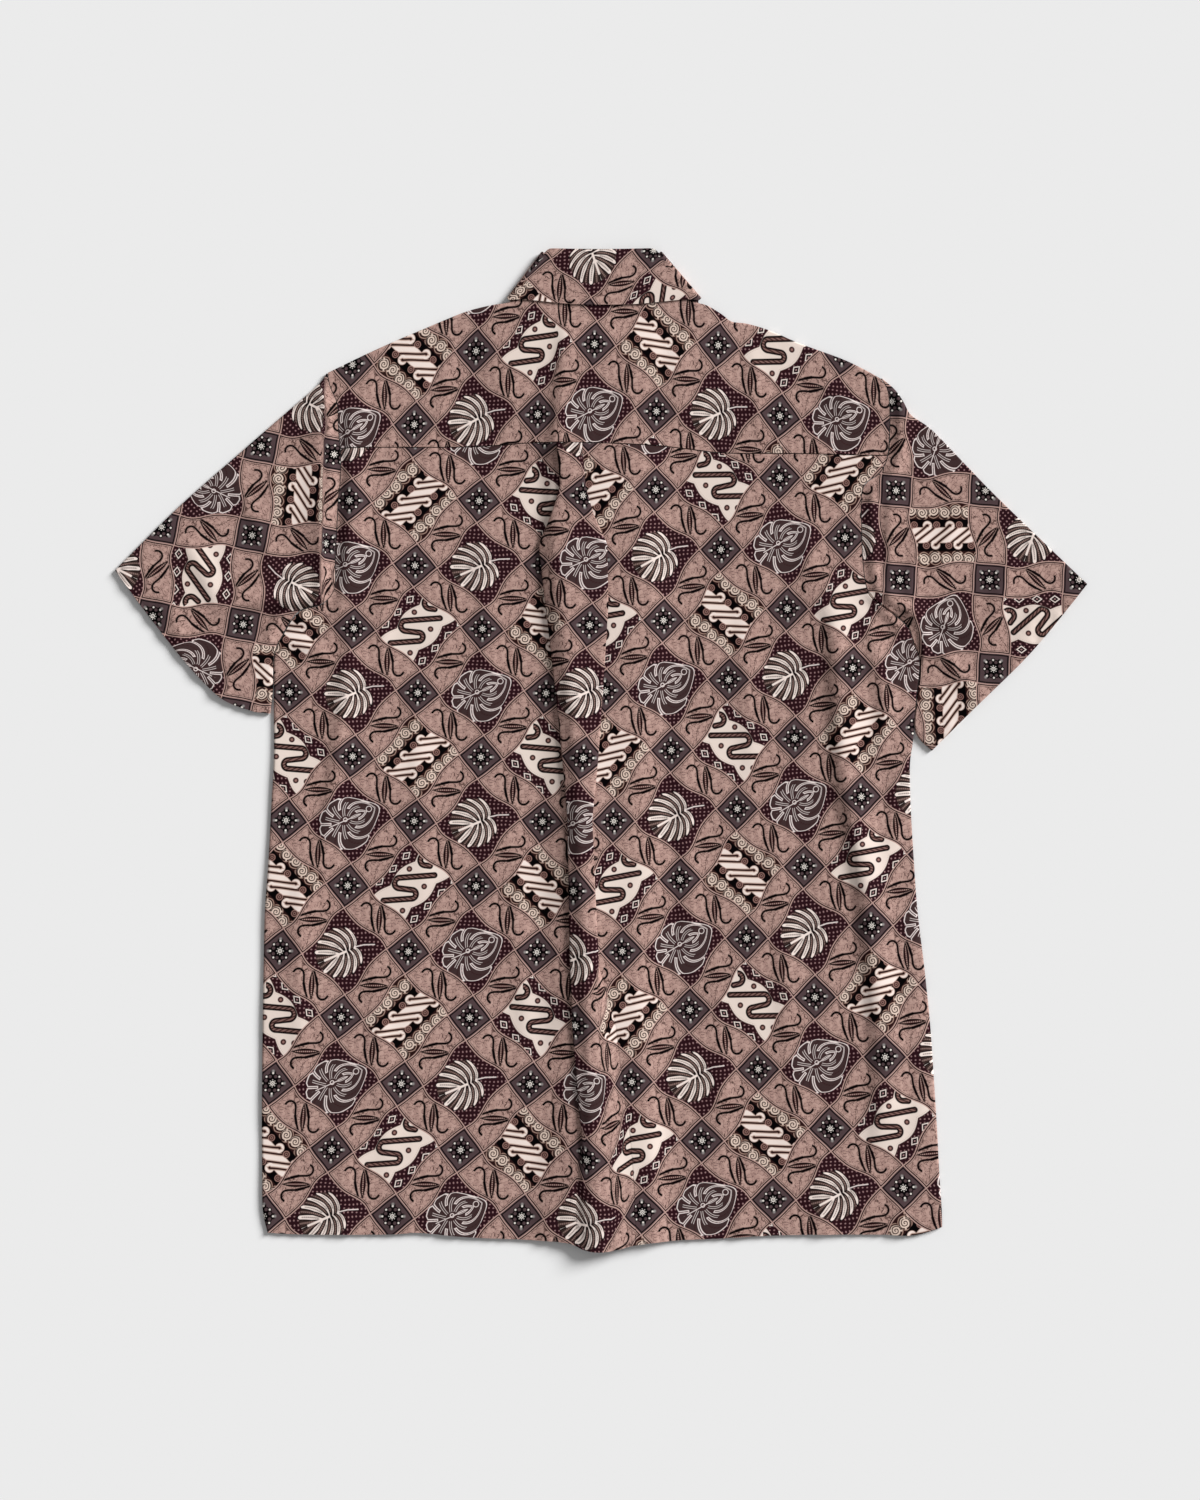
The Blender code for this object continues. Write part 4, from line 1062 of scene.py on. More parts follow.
def under_relief(x, y):
    """The part of a fold that the lower cloth follows."""
    return np.clip(relief(x, y) * UNDER_SHARE, 0.0, UNDER_MOST)


print("relief at the centre:", round(float(relief(CENTRE, 0.0)), 2), "mm")

# %% Heights of the layers
COLLAR_BED_X = (82.0, 96.0)
COLLAR_BED_Y = (330.0, 352.0)
CLOSE_LAYERS_X = (LIFT_INNER, LIFT_OUTER + 14.0)
CLOSE_LAYERS_Y = (230.0, 262.0)


def raised(x, y, full):
    """Lift of a layer over the buttoned edges and over the collar's wings."""
    closing = 1.0 - smooth(LIFT_INNER, LIFT_OUTER, np.abs(x - CENTRE))
    closing = closing * (1.0 - smooth(*LIFT_TOP, y))
    off_x = (x - WING_BED_CENTRE[0]) / WING_BED_RADII[0]
    off_y = (y - WING_BED_CENTRE[1]) / WING_BED_RADII[1]
    wings = 1.0 - smooth(*WING_BED_EDGE, np.hypot(off_x, off_y))
    return full * (1.0 - (1.0 - closing) * (1.0 - wings * WING_LIFT / full))


def back_z(x, y):
    """Middle of the back's and the yoke's wall where it is a single layer."""
    under_collar = smooth(*COLLAR_BED_Y, y) * (1.0 - smooth(*COLLAR_BED_X, np.abs(x - CENTRE)))
    seams = pucker(x, y, y - read_edge(YOKE_SEAM, x)) + pucker(x, y, y - read_edge(HEM, x))
    return BACK_Z + raised(x, y, RIGHT_FRONT_LIFT) + (relief(x, y) + seams) * (1.0 - under_collar)


def away_from_neck(x, y):
    """0 over the buttoned edges and the collar's wings, where the layers lie close, else 1."""
    beside = smooth(*CLOSE_LAYERS_X, np.abs(x - CENTRE))
    return beside * (1.0 - smooth(*CLOSE_LAYERS_Y, y))


def left_front_z(x, y):
    return FRONT_Z + raised(x, y, LEFT_FRONT_LIFT) + under_relief(x, y) * away_from_neck(x, y)


def right_front_z(x, y):
    return FRONT_Z + raised(x, y, RIGHT_FRONT_LIFT) + under_relief(x, y) * away_from_neck(x, y)


print("layers:", FRONT_Z, BACK_Z)

# %% [markdown]
# ## Where the print lies
#
# The cloth was printed before it was cut, so each piece has its own window on the lattice.
# The back's two sides run on from the box pleat, which hides a strip of print on each
# side; the yoke and the collar start a new row; and the sleeves are cut on the bias of the
# lattice. Each rule here turns a place on the shirt into lattice numbers.

# %% Print rules of the back
def diagonal(column, row):
    """Lattice numbers from the column and the row of small squares across the shirt."""
    return np.stack([(column + row) / 2, (row - column) / 2], axis=-1)


# How far the cloth has been pulled sideways and up, at places down the shirt
LEFT_PULL = [
    (-400, 0, 0), (-370, 0.3, 0.6), (-320, 1.5, 1.6), (-268, 3.8, 2.4), (-217, 5.3, 3.4),
    (-165, 6, 4), (-113, 7, 4.5), (-60, 7.2, 4.4), (-9, 7.6, 3.8), (43, 6.7, 2.9), (95, 5.4, 2.2),
    (147, 1, 0.5), (199, -1.2, 0.4), (245, -2, 0.4),
]
RIGHT_PULL = [
    (-400, 0.2, 0), (-360, 0.2, 0.3), (-312, -0.8, 0.3), (-265, -2.8, 0.5), (-210, -3.6, 1),
    (-160, -4.4, 1.1), (-105, -4.2, 1.4), (-50, -4.3, 0.7), (0, -4, 0.5), (56, -3.6, 0),
    (110, -2.4, 0), (160, -2.2, 0), (205, -1, 0.6), (245, -1, 0.6),
]


def pulled(x, y, table, turn_x, gain):
    """The place where cloth would lie if it had not been pulled; more so away from turn_x."""
    heights, sideways, upwards = zip(*table)
    more = 1.0 + gain * (np.abs(x) - turn_x)
    return x - np.interp(y, heights, sideways) * more, y - np.interp(y, heights, upwards) * more


# A small square near the top of each side, and how far apart the squares are across and down
LEFT_SQUARE = (-199.6, 198.8)
LEFT_PITCH = (51.68, 52.0)
LEFT_LEAN = 0.0335
LEFT_LEAN_FROM = 198.4
RIGHT_SQUARE = (44.24, 207.52)
RIGHT_PITCH = (50.0, 52.0)
RIGHT_LEAN = 3.72
RIGHT_SPREAD = 0.2
RIGHT_RISE = 4.64


def left_rows(x, y, drop=0.0):
    """The left side's rows of squares, which lean a little; drop is how far they hang."""
    column = (x - LEFT_SQUARE[0] + LEFT_LEAN * (LEFT_LEAN_FROM - y)) / LEFT_PITCH[0]
    return diagonal(column, (LEFT_SQUARE[1] - y - drop) / LEFT_PITCH[1])


def left_print(x, y):
    return left_rows(*pulled(x, y, LEFT_PULL, 130.0, 0.0012))


def right_print(x, y):
    """The right side's rows rise to the side and spread downwards; a few rounds settle both."""
    x, y = pulled(x, y, RIGHT_PULL, 90.0, 0.0078)
    column = np.zeros(np.shape(x))
    for _ in range(4):
        row = (RIGHT_SQUARE[1] - y + RIGHT_RISE * column) / RIGHT_PITCH[1]
        column = (x - RIGHT_SQUARE[0] - RIGHT_LEAN * row) / (RIGHT_PITCH[0] + RIGHT_SPREAD * row)
    return diagonal(column + 6.0, row)


# Down the box: the width of print hidden beside it, and how far its rows hang
HIDDEN_STRIP = [
    (-392, 0), (-327, 0.8), (-266.4, 9.6), (-220, 13.6), (-160, 16.8), (-112, 18.8), (-56, 16.8),
    (-6.4, 14.4), (46.4, 13.6), (100, 12.8), (152, 13.6), (180, 17.6), (203, 21.6), (244, 20),
]
ROW_DROP = [(-400, 6.5), (-327, 6), (-220, 2.8), (-112, -0.8), (-6.4, -2.8), (100, -4.8), (203, -4)]


def box_print(x, y):
    hidden = np.interp(y, *zip(*HIDDEN_STRIP))
    return left_rows(x + hidden, y, np.interp(y, *zip(*ROW_DROP)))


print("print rules of the back: ready")

# %% Print rules of the other pieces
YOKE_SQUARE = (-5.12, 270.4)
YOKE_PITCH = (49.36, 54.0)
YOKE_BOW = 0.72
YOKE_CREASE_X = (-39.0, -31.0)
YOKE_CREASE_HIDES = 4.0
SLEEVE_SHIFT_X = (-224.5, -220.0)
SLEEVE_SHIFT = 14.0


def lattice_at(x, y, origin, along_i, along_j):
    """Lattice numbers in a field with straight rows, from a small square and two steps."""
    dx, dy = x - origin[0], y - origin[1]
    size = along_i[0] * along_j[1] - along_i[1] * along_j[0]
    i = (dx * along_j[1] - dy * along_j[0]) / size
    j = (along_i[0] * dy - along_i[1] * dx) / size
    return i, j


def yoke_print(x, y):
    """The yoke's rows bow up in the middle, and the crease on it hides a little print."""
    shifted = x - YOKE_CREASE_HIDES * (1.0 - smooth(*YOKE_CREASE_X, x))
    column = (shifted - YOKE_SQUARE[0]) / YOKE_PITCH[0] + 4.0
    row = (YOKE_SQUARE[1] - y - YOKE_BOW * (column - 4.8) ** 2) / YOKE_PITCH[1] + 1.0
    return diagonal(column + 2.0, row + 2.0)


def left_sleeve_print(x, y):
    x = x + SLEEVE_SHIFT * smooth(*SLEEVE_SHIFT_X, x)
    i, j = lattice_at(x, y, (-278.72, 171.52), (72.32, -6.64), (-7.2, -71.2))
    return np.stack([-j - 2.0, i + 3.0], axis=-1)


def right_sleeve_print(x, y):
    i, j = lattice_at(x, y, (310.4, 136.0), (71.6, 0.0), (3.2, -71.2))
    return np.stack([i + 1.0, j + 2.0], axis=-1)


def collar_print(x, y):
    column, row = lattice_at(x, y, (-7.2, 396.0), (49.2, 3.2), (-4.0, -51.2))
    i, j = (column + row) / 2 + 0.5, (row - column) / 2 + 0.5
    return np.stack([-j + 2.0, i + 1.0], axis=-1)


def front_print(x, y):
    return left_print(-x, y)


print("print rules of the other pieces: ready")

# %% [markdown]
# ## Cloth pieces
#
# Each cut piece is a grid of points on the middle of its wall. A grid primitive gives the
# faces, the points are set by the rules above, and Solidify gives the cotton its thickness.
# The print map is made before that, so both faces of the wall carry it.


# %% A wall of cloth
SMOOTH_ANGLE = 50.0


def place_mesh(ob):
    """Shade a finished piece and put it on the shirt."""
    bpy.ops.object.select_all(action="DESELECT")
    ob.select_set(True)
    bpy.context.view_layer.objects.active = ob
    bpy.ops.object.shade_smooth_by_angle(angle=math.radians(SMOOTH_ANGLE))
    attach(ob, "root")


def cloth(name, points, prints, replaced, tube_from=None, open_columns=0):
    """A wall of cotton round a grid of middle points, with its place in the print.

    A tube closes on itself from one row on; before that row its last columns are left out.
    """
    points = np.asarray(points, float)
    prints = np.asarray(prints, float)
    depth, width = points.shape[:2]
    bpy.ops.object.select_all(action="DESELECT")
    bpy.ops.mesh.primitive_grid_add(x_subdivisions=width - 1, y_subdivisions=depth - 1)
    ob = bpy.context.object
    ob.name = ob.data.name = name
    mesh = ob.data
    mesh.vertices.foreach_set("co", (points * MM).ravel())
    while mesh.uv_layers:
        mesh.uv_layers.remove(mesh.uv_layers[0])
    corners = np.empty(len(mesh.loops), int)
    mesh.loops.foreach_get("vertex_index", corners)
    layer = mesh.uv_layers.new(name="print")
    layer.data.foreach_set("uv", prints.reshape(-1, 2)[corners].ravel())
    if tube_from is not None:
        made = bmesh.new()
        made.from_mesh(mesh)
        made.verts.ensure_lookup_table()
        grid = np.arange(depth * width).reshape(depth, width)
        unused = [made.verts[k] for k in grid[:tube_from, width - open_columns :].ravel()]
        ends = {made.verts[row[-1]]: made.verts[row[0]] for row in grid[tube_from:].tolist()}
        bmesh.ops.weld_verts(made, targetmap=ends)
        bmesh.ops.delete(made, geom=unused, context="VERTS")
        made.to_mesh(mesh)
        made.free()
    area = sum(face.area for face in mesh.polygons)
    wall = ob.modifiers.new("wall", "SOLIDIFY")
    wall.thickness = WALL * MM
    wall.offset = 0.0
    wall.use_even_offset = False
    bpy.ops.object.modifier_apply(modifier="wall")
    mesh.materials.append(printed_cotton)
    place_mesh(ob)
    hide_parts(replaced)
    print(f"{name}: {len(ob.data.polygons)} faces, {area:.4f} m2 of cloth")
    return ob, area


# %% [markdown]
# ### The back
#
# The back is one wide panel, gathered into a box pleat under the yoke: two folds turned
# towards each other under a strip of cloth. The strip stands a little above the panels, and
# towards the hem the pleat opens out into a soft wave. Every row of the grid therefore
# walks over the left panel, round the left fold, over the box and down round the right
# fold.


# %% Columns of the back
PLEAT_ROWS = np.array(PLEAT)[::-1]
FOLD_TURNS = (90.0, 60.0, 30.0, 0.0, -30.0, -60.0, -90.0)
PANEL_COLUMNS = 60
BOX_COLUMNS = 12
ROLL_TURNS = (0.0, 15.0, 30.0, 45.0, 60.0, 75.0, 90.0)
SLOPE_BLEND = 2.0
EDGE_STRIP = 1.9
BOX_CROWN = 0.3
EDGE_EASE = (1.0, 0.5, 0.2, 0.0)


def tuck_path(fold, tuck, sign):
    """Points from the top of the box down round one of its folds to the panel, as (x, level)."""
    folded = []
    depth = max(tuck, 0.0)
    for centre, swell, middle in ((fold, sign, 1.5), (fold - sign * depth, -sign, 0.5)):
        for angle in np.radians(FOLD_TURNS):
            x = centre + swell * TUCK_RADIUS * math.cos(angle)
            folded.append((x, middle + 0.5 * math.sin(angle)))
        if middle > 1.0:
            # Between its two turns the cloth lies flat under the box
            folded.append((centre - sign * depth * 0.5, 1.0))
    run = np.linspace(0.0, 1.0, len(folded))
    slope_x = fold + sign * max(-tuck, 0.0) * run
    slope = np.stack([slope_x, 2.0 * (1.0 - smooth(0.0, 1.0, run))], axis=-1)
    share = min(max(1.0 + tuck / SLOPE_BLEND, 0.0), 1.0)
    return np.array(folded) * share + slope * (1 - share)


def edge_columns(rolled):
    """Distance from the outline and drop of the columns along a side of the back."""
    columns = []
    for angle in np.radians(ROLL_TURNS)[::-1]:
        inset = HALF_WALL + ROLL_RADIUS * (1.0 - math.sin(angle))
        drop = ROLL_RADIUS * (1.0 - math.cos(angle))
        flat = (1.0 - math.degrees(angle) / 90.0) * EDGE_STRIP
        columns.append((flat * (1 - rolled) + inset * rolled, drop * rolled))
    return columns


print("columns of the back:", 2 * PANEL_COLUMNS + BOX_COLUMNS, "without the folds")


# %% Build the back
def back_row(section, from_top, from_hem):
    """One section through the back: its points and their places in the print."""
    left_x, left_y, right_x, right_y, _front_x, _front_y, rolled = section
    middle_y = (left_y + right_y) / 2
    left_fold, right_fold, left_tuck, right_tuck, rise = (
        np.interp(middle_y, PLEAT_ROWS[:, 0], PLEAT_ROWS[:, k]) for k in (1, 2, 3, 4, 5)
    )
    edges = edge_columns(min(max(rolled, 0.0), 1.0))
    left_end = left_fold - max(-left_tuck, 0.0)
    right_start = right_fold + max(-right_tuck, 0.0)
    left_inner = left_fold + left_tuck * 0.5 if left_tuck > 0 else left_end + 0.01
    right_inner = right_fold - right_tuck * 0.5 if right_tuck > 0 else right_start - 0.01
    first = left_x + edges[-1][0] + 2.0
    last = right_x - edges[-1][0] - 2.0
    left_panel = np.append(np.linspace(first, left_end, PANEL_COLUMNS), left_inner)
    right_panel = np.append(right_inner, np.linspace(right_start, last, PANEL_COLUMNS))
    left_path = tuck_path(left_fold, left_tuck, -1)[::-1]
    right_path = tuck_path(right_fold, right_tuck, 1)
    box = np.linspace(left_fold, right_fold, BOX_COLUMNS + 2)[1:-1]
    crown = 2.0 + BOX_CROWN * np.sin(math.pi * np.linspace(0.0, 1.0, BOX_COLUMNS + 2)[1:-1])
    x = np.concatenate([
        [left_x + inset for inset, _drop in edges], left_panel, left_path[:, 0], box,
        right_path[:, 0], right_panel, [right_x - inset for inset, _drop in edges[::-1]],
    ])
    level = np.concatenate([
        np.zeros(len(edges) + len(left_panel)), left_path[:, 1], crown, right_path[:, 1],
        np.zeros(len(edges) + len(right_panel)),
    ])
    drops = np.zeros(len(x))
    drops[: len(edges)] = [drop for _inset, drop in edges]
    drops[-len(edges) :] = [drop for _inset, drop in edges[::-1]]
    share = (x - left_x) / (right_x - left_x)
    y = left_y * (1 - share) + right_y * share
    for edge, steps in ((YOKE_SEAM, from_top), (HEM, from_hem)):
        straight = edge[0][1] * (1 - share) + edge[-1][1] * share
        y = y + (read_edge(edge, x) - straight) * np.interp(steps, (0.0, 1.0, 2.0, 3.0), EDGE_EASE)
    z = back_z(x, y) + level * rise * TUCK_STEP - drops
    prints = np.empty((len(x), 2))
    left_count = len(edges) + len(left_panel) - 1
    box_from = len(edges) + len(left_panel) + len(left_path)
    box_to = box_from + len(box)
    right_from = box_to + len(right_path) + 1
    prints[:left_count] = left_print(x[:left_count], y[:left_count])
    prints[box_from:box_to] = box_print(x[box_from:box_to], y[box_from:box_to])
    prints[right_from:] = right_print(x[right_from:], y[right_from:])
    for start, end in ((left_count - 1, box_from), (box_to - 1, right_from)):
        walk = np.hypot(np.diff(x[start : end + 1]), np.diff(z[start : end + 1]))
        reach = np.concatenate([[0.0], np.cumsum(walk)])
        reach = (reach / reach[-1])[:, None]
        prints[start : end + 1] = prints[start] * (1 - reach) + prints[end] * reach
    return np.stack([x, y, z], axis=-1), prints


at = strides(section_middles[YOKE_SEAM_ROW:]) + YOKE_SEAM_ROW
last_row = len(SECTIONS) - 1
rows, prints = zip(*[
    back_row(section, t - YOKE_SEAM_ROW, last_row - t)
    for section, t in zip(through(SECTION_ROWS, at), at)
])
rows = np.array(rows)
rows[0, :, 1] -= SEAM_GAP
back, back_area = cloth("back_cloth", rows[::-1], np.array(prints)[::-1], "back")

# %% [markdown]
# ### The yoke
#
# The yoke joins the shoulders. It is a double layer on a real shirt, and its top edge turns
# over the shoulder towards the front, so the last rows of the grid roll down along both
# shoulders and stay flat along the neck, under the collar.

# %% Collar plan
# Half of the collar: where it turns over, its neck seam and its free edge, from the centre
# back round the side to the centre front.
CollarRow = namedtuple("CollarRow", "part ridge_x ridge_y seam_x seam_y free_x free_y")
COLLAR = [
    CollarRow("back", 0, 400.2, 0, 366.8, 0, 355.6),
    CollarRow("back", 16, 400.3, 22, 366.4, 27, 356.2),
    CollarRow("back", 31, 400.5, 42, 365.4, 52, 358.6),
    CollarRow("back", 41, 400.3, 56, 363.2, 66, 359.8),
    CollarRow("side", 47.5, 398.4, 65, 360, 77.4, 361),
    CollarRow("wing", 43, 388, 64.6, 345.2, 74.4, 346),
    CollarRow("wing", 33, 366, 53.6, 322, 66, 317),
    CollarRow("wing", 20, 340, 32, 297, 51.5, 281),
    CollarRow("wing", 9, 320, 12, 286.8, 39.5, 258),
    CollarRow("wing", 1.8, 308.2, -4, 285.2, 34.4, 250.6),
]
COLLAR_FALL_STEP = 1.5
RIDGE_RADIUS = 0.75
RIDGE_RUN = 1.2
SIDE_RISE = 3.5
COLLAR_LEAN = 0.056
COLLAR_LEAN_Y = 360.0
STAND_END = 14.0


def collar_plan(row, side):
    """Ridge, seam and free edge of a collar row in plan, on the left or the right half."""
    points = []
    for x, y in ((row.ridge_x, row.ridge_y), (row.seam_x, row.seam_y), (row.free_x, row.free_y)):
        points.append(np.array((CENTRE + side * x - COLLAR_LEAN * max(y - COLLAR_LEAN_Y, 0.0), y)))
    return points


around = [row for row in COLLAR if row.part != "wing"]
neck = [collar_plan(row, -1)[1] for row in around[::-1]]
neck += [collar_plan(row, 1)[1] for row in around[1:]]
print("neck seam:", len(neck), "points")

# %% Build the yoke
YOKE_ROWS = 26

yoke_rows = SECTION_ROWS[: YOKE_SEAM_ROW + 1][::-1]
left_edge = Line(curve(yoke_rows[:, 0:2]))
right_edge = Line(through(yoke_rows[:, 2:4], strides(yoke_rows[:, 0:2])))
left_top, neck_top, right_top = curve(LEFT_SHOULDER), curve(neck), curve(RIGHT_SHOULDER[::-1])
top_edge = Line(np.concatenate([left_top, neck_top, right_top]))
yoke_shares = top_edge.shares()
rolls = np.ones((len(top_edge.points), 1))
rolls[len(left_top) : len(left_top) + len(neck_top)] = 0.0
sides = (left_edge, right_edge, Line(curve(YOKE_SEAM)), top_edge)
plan = [
    four_sided(*sides, yoke_shares, np.full(len(yoke_shares), v))
    for v in np.linspace(0.0, YOKE_TOP_SHARE, YOKE_ROWS)
]
plan[0] = plan[0] + (0.0, SEAM_GAP)
heights = [back_z(p[:, 0], p[:, 1]) for p in plan]
inward = plan[-1] - top_edge.points
inward /= np.linalg.norm(inward, axis=1)[:, None]
for angle in np.radians(ROLL_TURNS)[::-1]:
    inset = HALF_WALL + ROLL_RADIUS * (1.0 - math.cos(angle))
    spot = top_edge.points + inward * (inset * rolls + ROLL_RADIUS * angle * (1 - rolls))
    drop = ROLL_RADIUS * (1.0 - math.sin(angle)) * rolls[:, 0]
    plan.append(spot)
    heights.append(back_z(spot[:, 0], spot[:, 1]) - drop)
rows = [np.column_stack([p, z]) for p, z in zip(plan, heights)]
prints = [yoke_print(p[:, 0], p[:, 1]) for p in plan]
yoke, yoke_area = cloth("yoke_cloth", rows, prints, "yoke")

# %% [markdown]
# ### The fronts
#
# Both fronts lie underneath, the buttoned edge of the right one over the left. They show
# at the neck, at the cuffs' inner ends and from below, so they have the same cloth and
# print, with fewer points.

# %% Build the fronts
FRONT_COLUMNS = 64
FRONT_STEP = 6.0
FRONT_HEM_Y = -392.0


def build_front(name, side, height, replaced):
    """One front, from the shoulder to the hem."""
    sign = -1.0 if side == "left" else 1.0
    shoulder = LEFT_SHOULDER if side == "left" else RIGHT_SHOULDER
    at = strides(section_middles, FRONT_STEP)
    rows = []
    for section, t in zip(through(SECTION_ROWS, at), at):
        outer = np.array(section[0:2] if side == "left" else section[2:4])
        inner = np.array((CENTRE + sign * section[4], section[5]))
        ahead = (inner - outer) / np.linalg.norm(inner - outer)
        outer = outer + ahead * ROLL_INSET * min(max(section[6], 0.0), 1.0)
        first = max(1.0 - t, 0.0)
        last = max(t - (last_row - 1.0), 0.0)
        outer[1] -= ROLL_INSET * first
        inner[1] -= SEAM_GAP * first
        share = np.linspace(0.0, 1.0, FRONT_COLUMNS)[:, None]
        p = outer * (1 - share) + inner * share
        x, y = p[:, 0], p[:, 1]
        under_shoulder = np.minimum(read_edge(shoulder, x) - ROLL_INSET * 1.6, y + 4.0)
        y = y + (under_shoulder - y) * first
        hem = np.where(np.abs(x - CENTRE) > 40.0, read_edge(HEM, x), FRONT_HEM_Y)
        y = y + (hem - y) * last
        row = np.column_stack([x, y, height(x, y)])
        rows.append(row if side == "left" else row[::-1])
    rows = np.array(rows)[::-1]
    return cloth(name, rows, front_print(rows[..., 0], rows[..., 1]), replaced)


front_left, front_left_area = build_front("front_left_cloth", "left", left_front_z, "front_left")
front_right, front_right_area = build_front("front_right_cloth", "right", right_front_z, "front_right")

# %% [markdown]
# ### The sleeves
#
# A short sleeve is a wide tube, folded flat along its top and sewn under the arm. Its
# sections run from the armhole seam to the cuff. The first ones end at the lower part of
# the armhole, so the tube only closes from the underarm point on.

# %% Rows of a sleeve
CUFF_REACH = 150.0
SLEEVE_STATIONS = 66
STATIONS_NEAR_ENDS = (0.0075, 0.03, 0.045, 0.985, 0.993)
SLEEVE_COLUMNS = 56
COLUMNS_NEAR_EDGES = (0.012, 0.988)
EDGE_CLEAR = 0.1


def bend_at(edge, inner):
    """Points from the upper to the lower layer of a sleeve round its edge."""
    ahead = (inner - edge) / np.linalg.norm(inner - edge)
    bend = []
    for turn_angle in np.radians(FOLD_TURNS):
        p = edge + ahead * (HALF_WALL + EDGE_CLEAR + SLEEVE_BEND * (1.0 - math.cos(turn_angle)))
        bend.append((p[0], p[1], FRONT_Z + SLEEVE_BEND * (1.0 + math.sin(turn_angle))))
    return bend


print("a sleeve:", SLEEVE_STATIONS, "rows of about", 2 * SLEEVE_COLUMNS, "points")


# %% Build the sleeves
def build_sleeve(name, side, fold, cuff, underarm_end, print_rule, replaced):
    """One sleeve, a flattened tube."""
    outward = 1.0 if side == "right" else -1.0
    columns = slice(2, 4) if side == "right" else slice(0, 2)
    corners = np.concatenate([SECTION_ROWS[: UNDERARM_ROW + 3, columns], underarm_end])
    at = strides(corners)
    armpit = int(np.argmin(np.abs(at - ARMPIT_ROW)))
    underarm_at = int(np.argmin(np.abs(at - UNDERARM_ROW)))
    body_line = through(corners, at)
    hole = Line(body_line[: underarm_at + 1])
    beside = Line(body_line).moved(ARMHOLE_GAP * outward)
    first = Line(beside.points[: armpit + 1])
    high = Line(beside.points[armpit:])
    low = Line(curve(np.concatenate([first.points[:1], fold])))
    cuff_line = curve(np.concatenate([fold[-1:], cuff]))
    last = Line(np.concatenate([low.points[-1:], cuff_line[1:], high.points[-1:]]))
    below = high.shares()
    underarm = below[underarm_at - armpit]
    stations = np.unique([*np.linspace(0.0, 1.0, SLEEVE_STATIONS), *STATIONS_NEAR_ENDS, underarm])
    across = np.unique([*np.linspace(0.0, 1.0, SLEEVE_COLUMNS)[1:-1], *COLUMNS_NEAR_EDGES])
    spread = np.array([0.0, *across, 1.0])
    crease = low.points[-1] - low.points[0]
    normal = np.array((-crease[1], crease[0])) / np.linalg.norm(crease)
    rows, prints = [], []
    for u in stations:
        points = four_sided(first, last, low, high, np.full(len(spread), u), spread)
        fold_bend = bend_at(points[0], points[1])
        closing_bend = bend_at(points[-1], points[-2])
        if u < underarm:
            ahead = (points[-2] - points[-1]) / np.linalg.norm(points[-2] - points[-1])
            open_edge = points[-1] + ahead * (u / underarm)
            closing_bend[0] = (*open_edge, BACK_Z)
            closing_bend[-1] = (*open_edge, FRONT_Z)
        inner = points[1:-1]
        x, y = inner[:, 0], inner[:, 1]
        ends = np.linalg.norm(inner - points[0], axis=1)
        if u >= underarm:
            ends = np.minimum(ends, np.linalg.norm(inner - points[-1], axis=1))
        centre, half_width, rise = ARMHOLE_RIDGE
        ridge = rise * np.exp(-(((hole.distance(x, y) - centre) / half_width) ** 2))
        lift = relief(x, y) + ridge + pucker(x, y, np.full(len(x), (1.0 - u) * CUFF_REACH))
        top = np.column_stack([inner, BACK_Z + lift * smooth(0.0, 12.0, ends)])
        under = np.column_stack([inner, FRONT_Z + under_relief(x, y) * smooth(4.0, 20.0, ends)])
        ring = np.concatenate([closing_bend[-1:], under[::-1], fold_bend[::-1], top, closing_bend])
        rows.append(ring)
        shown = ring[:, :2].copy()
        lower = np.arange(len(ring)) < 1 + len(under) + len(fold_bend) // 2
        back_over = (shown - low.points[0]) @ normal
        shown[lower] -= (2 * back_over[:, None] * normal)[lower]
        prints.append(print_rule(shown[:, 0], shown[:, 1]))
    tube_from = int(np.argmin(np.abs(stations - underarm)))
    return cloth(name, rows, prints, replaced, tube_from=tube_from, open_columns=len(FOLD_TURNS) - 1)


sleeve_left, sleeve_left_area = build_sleeve(
    "sleeve_left_cloth", "left", LEFT_SLEEVE_FOLD, LEFT_CUFF, LEFT_UNDERARM_END,
    left_sleeve_print, "sleeve_left",
)
sleeve_right, sleeve_right_area = build_sleeve(
    "sleeve_right_cloth", "right", RIGHT_SLEEVE_FOLD, RIGHT_CUFF, RIGHT_UNDERARM_END,
    right_sleeve_print, "sleeve_right",
)

# %% [markdown]
# ### The collar
#
# The collar stands on a band and turns over it. On the back its leaf lies over the neck
# seam, at the sides it turns round to the front, and its two wings lie under the fronts.
# The grid's stations run from one wing's front edge round the back to the other's.

# %% Collar stations
SIDE_TURNS = (-90.0, -54.0, -18.0, 18.0, 54.0, 90.0)
LEAF_Z = BACK_Z + WING_LIFT + COLLAR_FALL_STEP
WING_Z = FRONT_Z
STAND_BACK_Z = BACK_Z + WING_LIFT
STAND_FRONT_Z = FRONT_Z + WING_LIFT


def collar_stations():
    """Ridge, seam, free edge, outward turn, part and side, from the left wing to the right."""
    half = [(row, None) for row in COLLAR if row.part == "back"]
    half += [(row, turn) for row in COLLAR if row.part == "side" for turn in SIDE_TURNS[::-1]]
    half += [(row, None) for row in COLLAR if row.part == "wing"]
    left = [(*collar_plan(row, -1), turn, row.part, -1) for row, turn in half[:0:-1]]
    return left + [(*collar_plan(row, 1), turn, row.part, 1) for row, turn in half]


def turned_round(point, outward, low, high, angle):
    """A point on the round side of the collar, and its height between two layers."""
    radius = (high - low) / 2
    angle = math.radians(angle)
    spot = point + outward * (radius * math.cos(angle) - radius)
    return (*spot, (high + low) / 2 + radius * math.sin(angle))


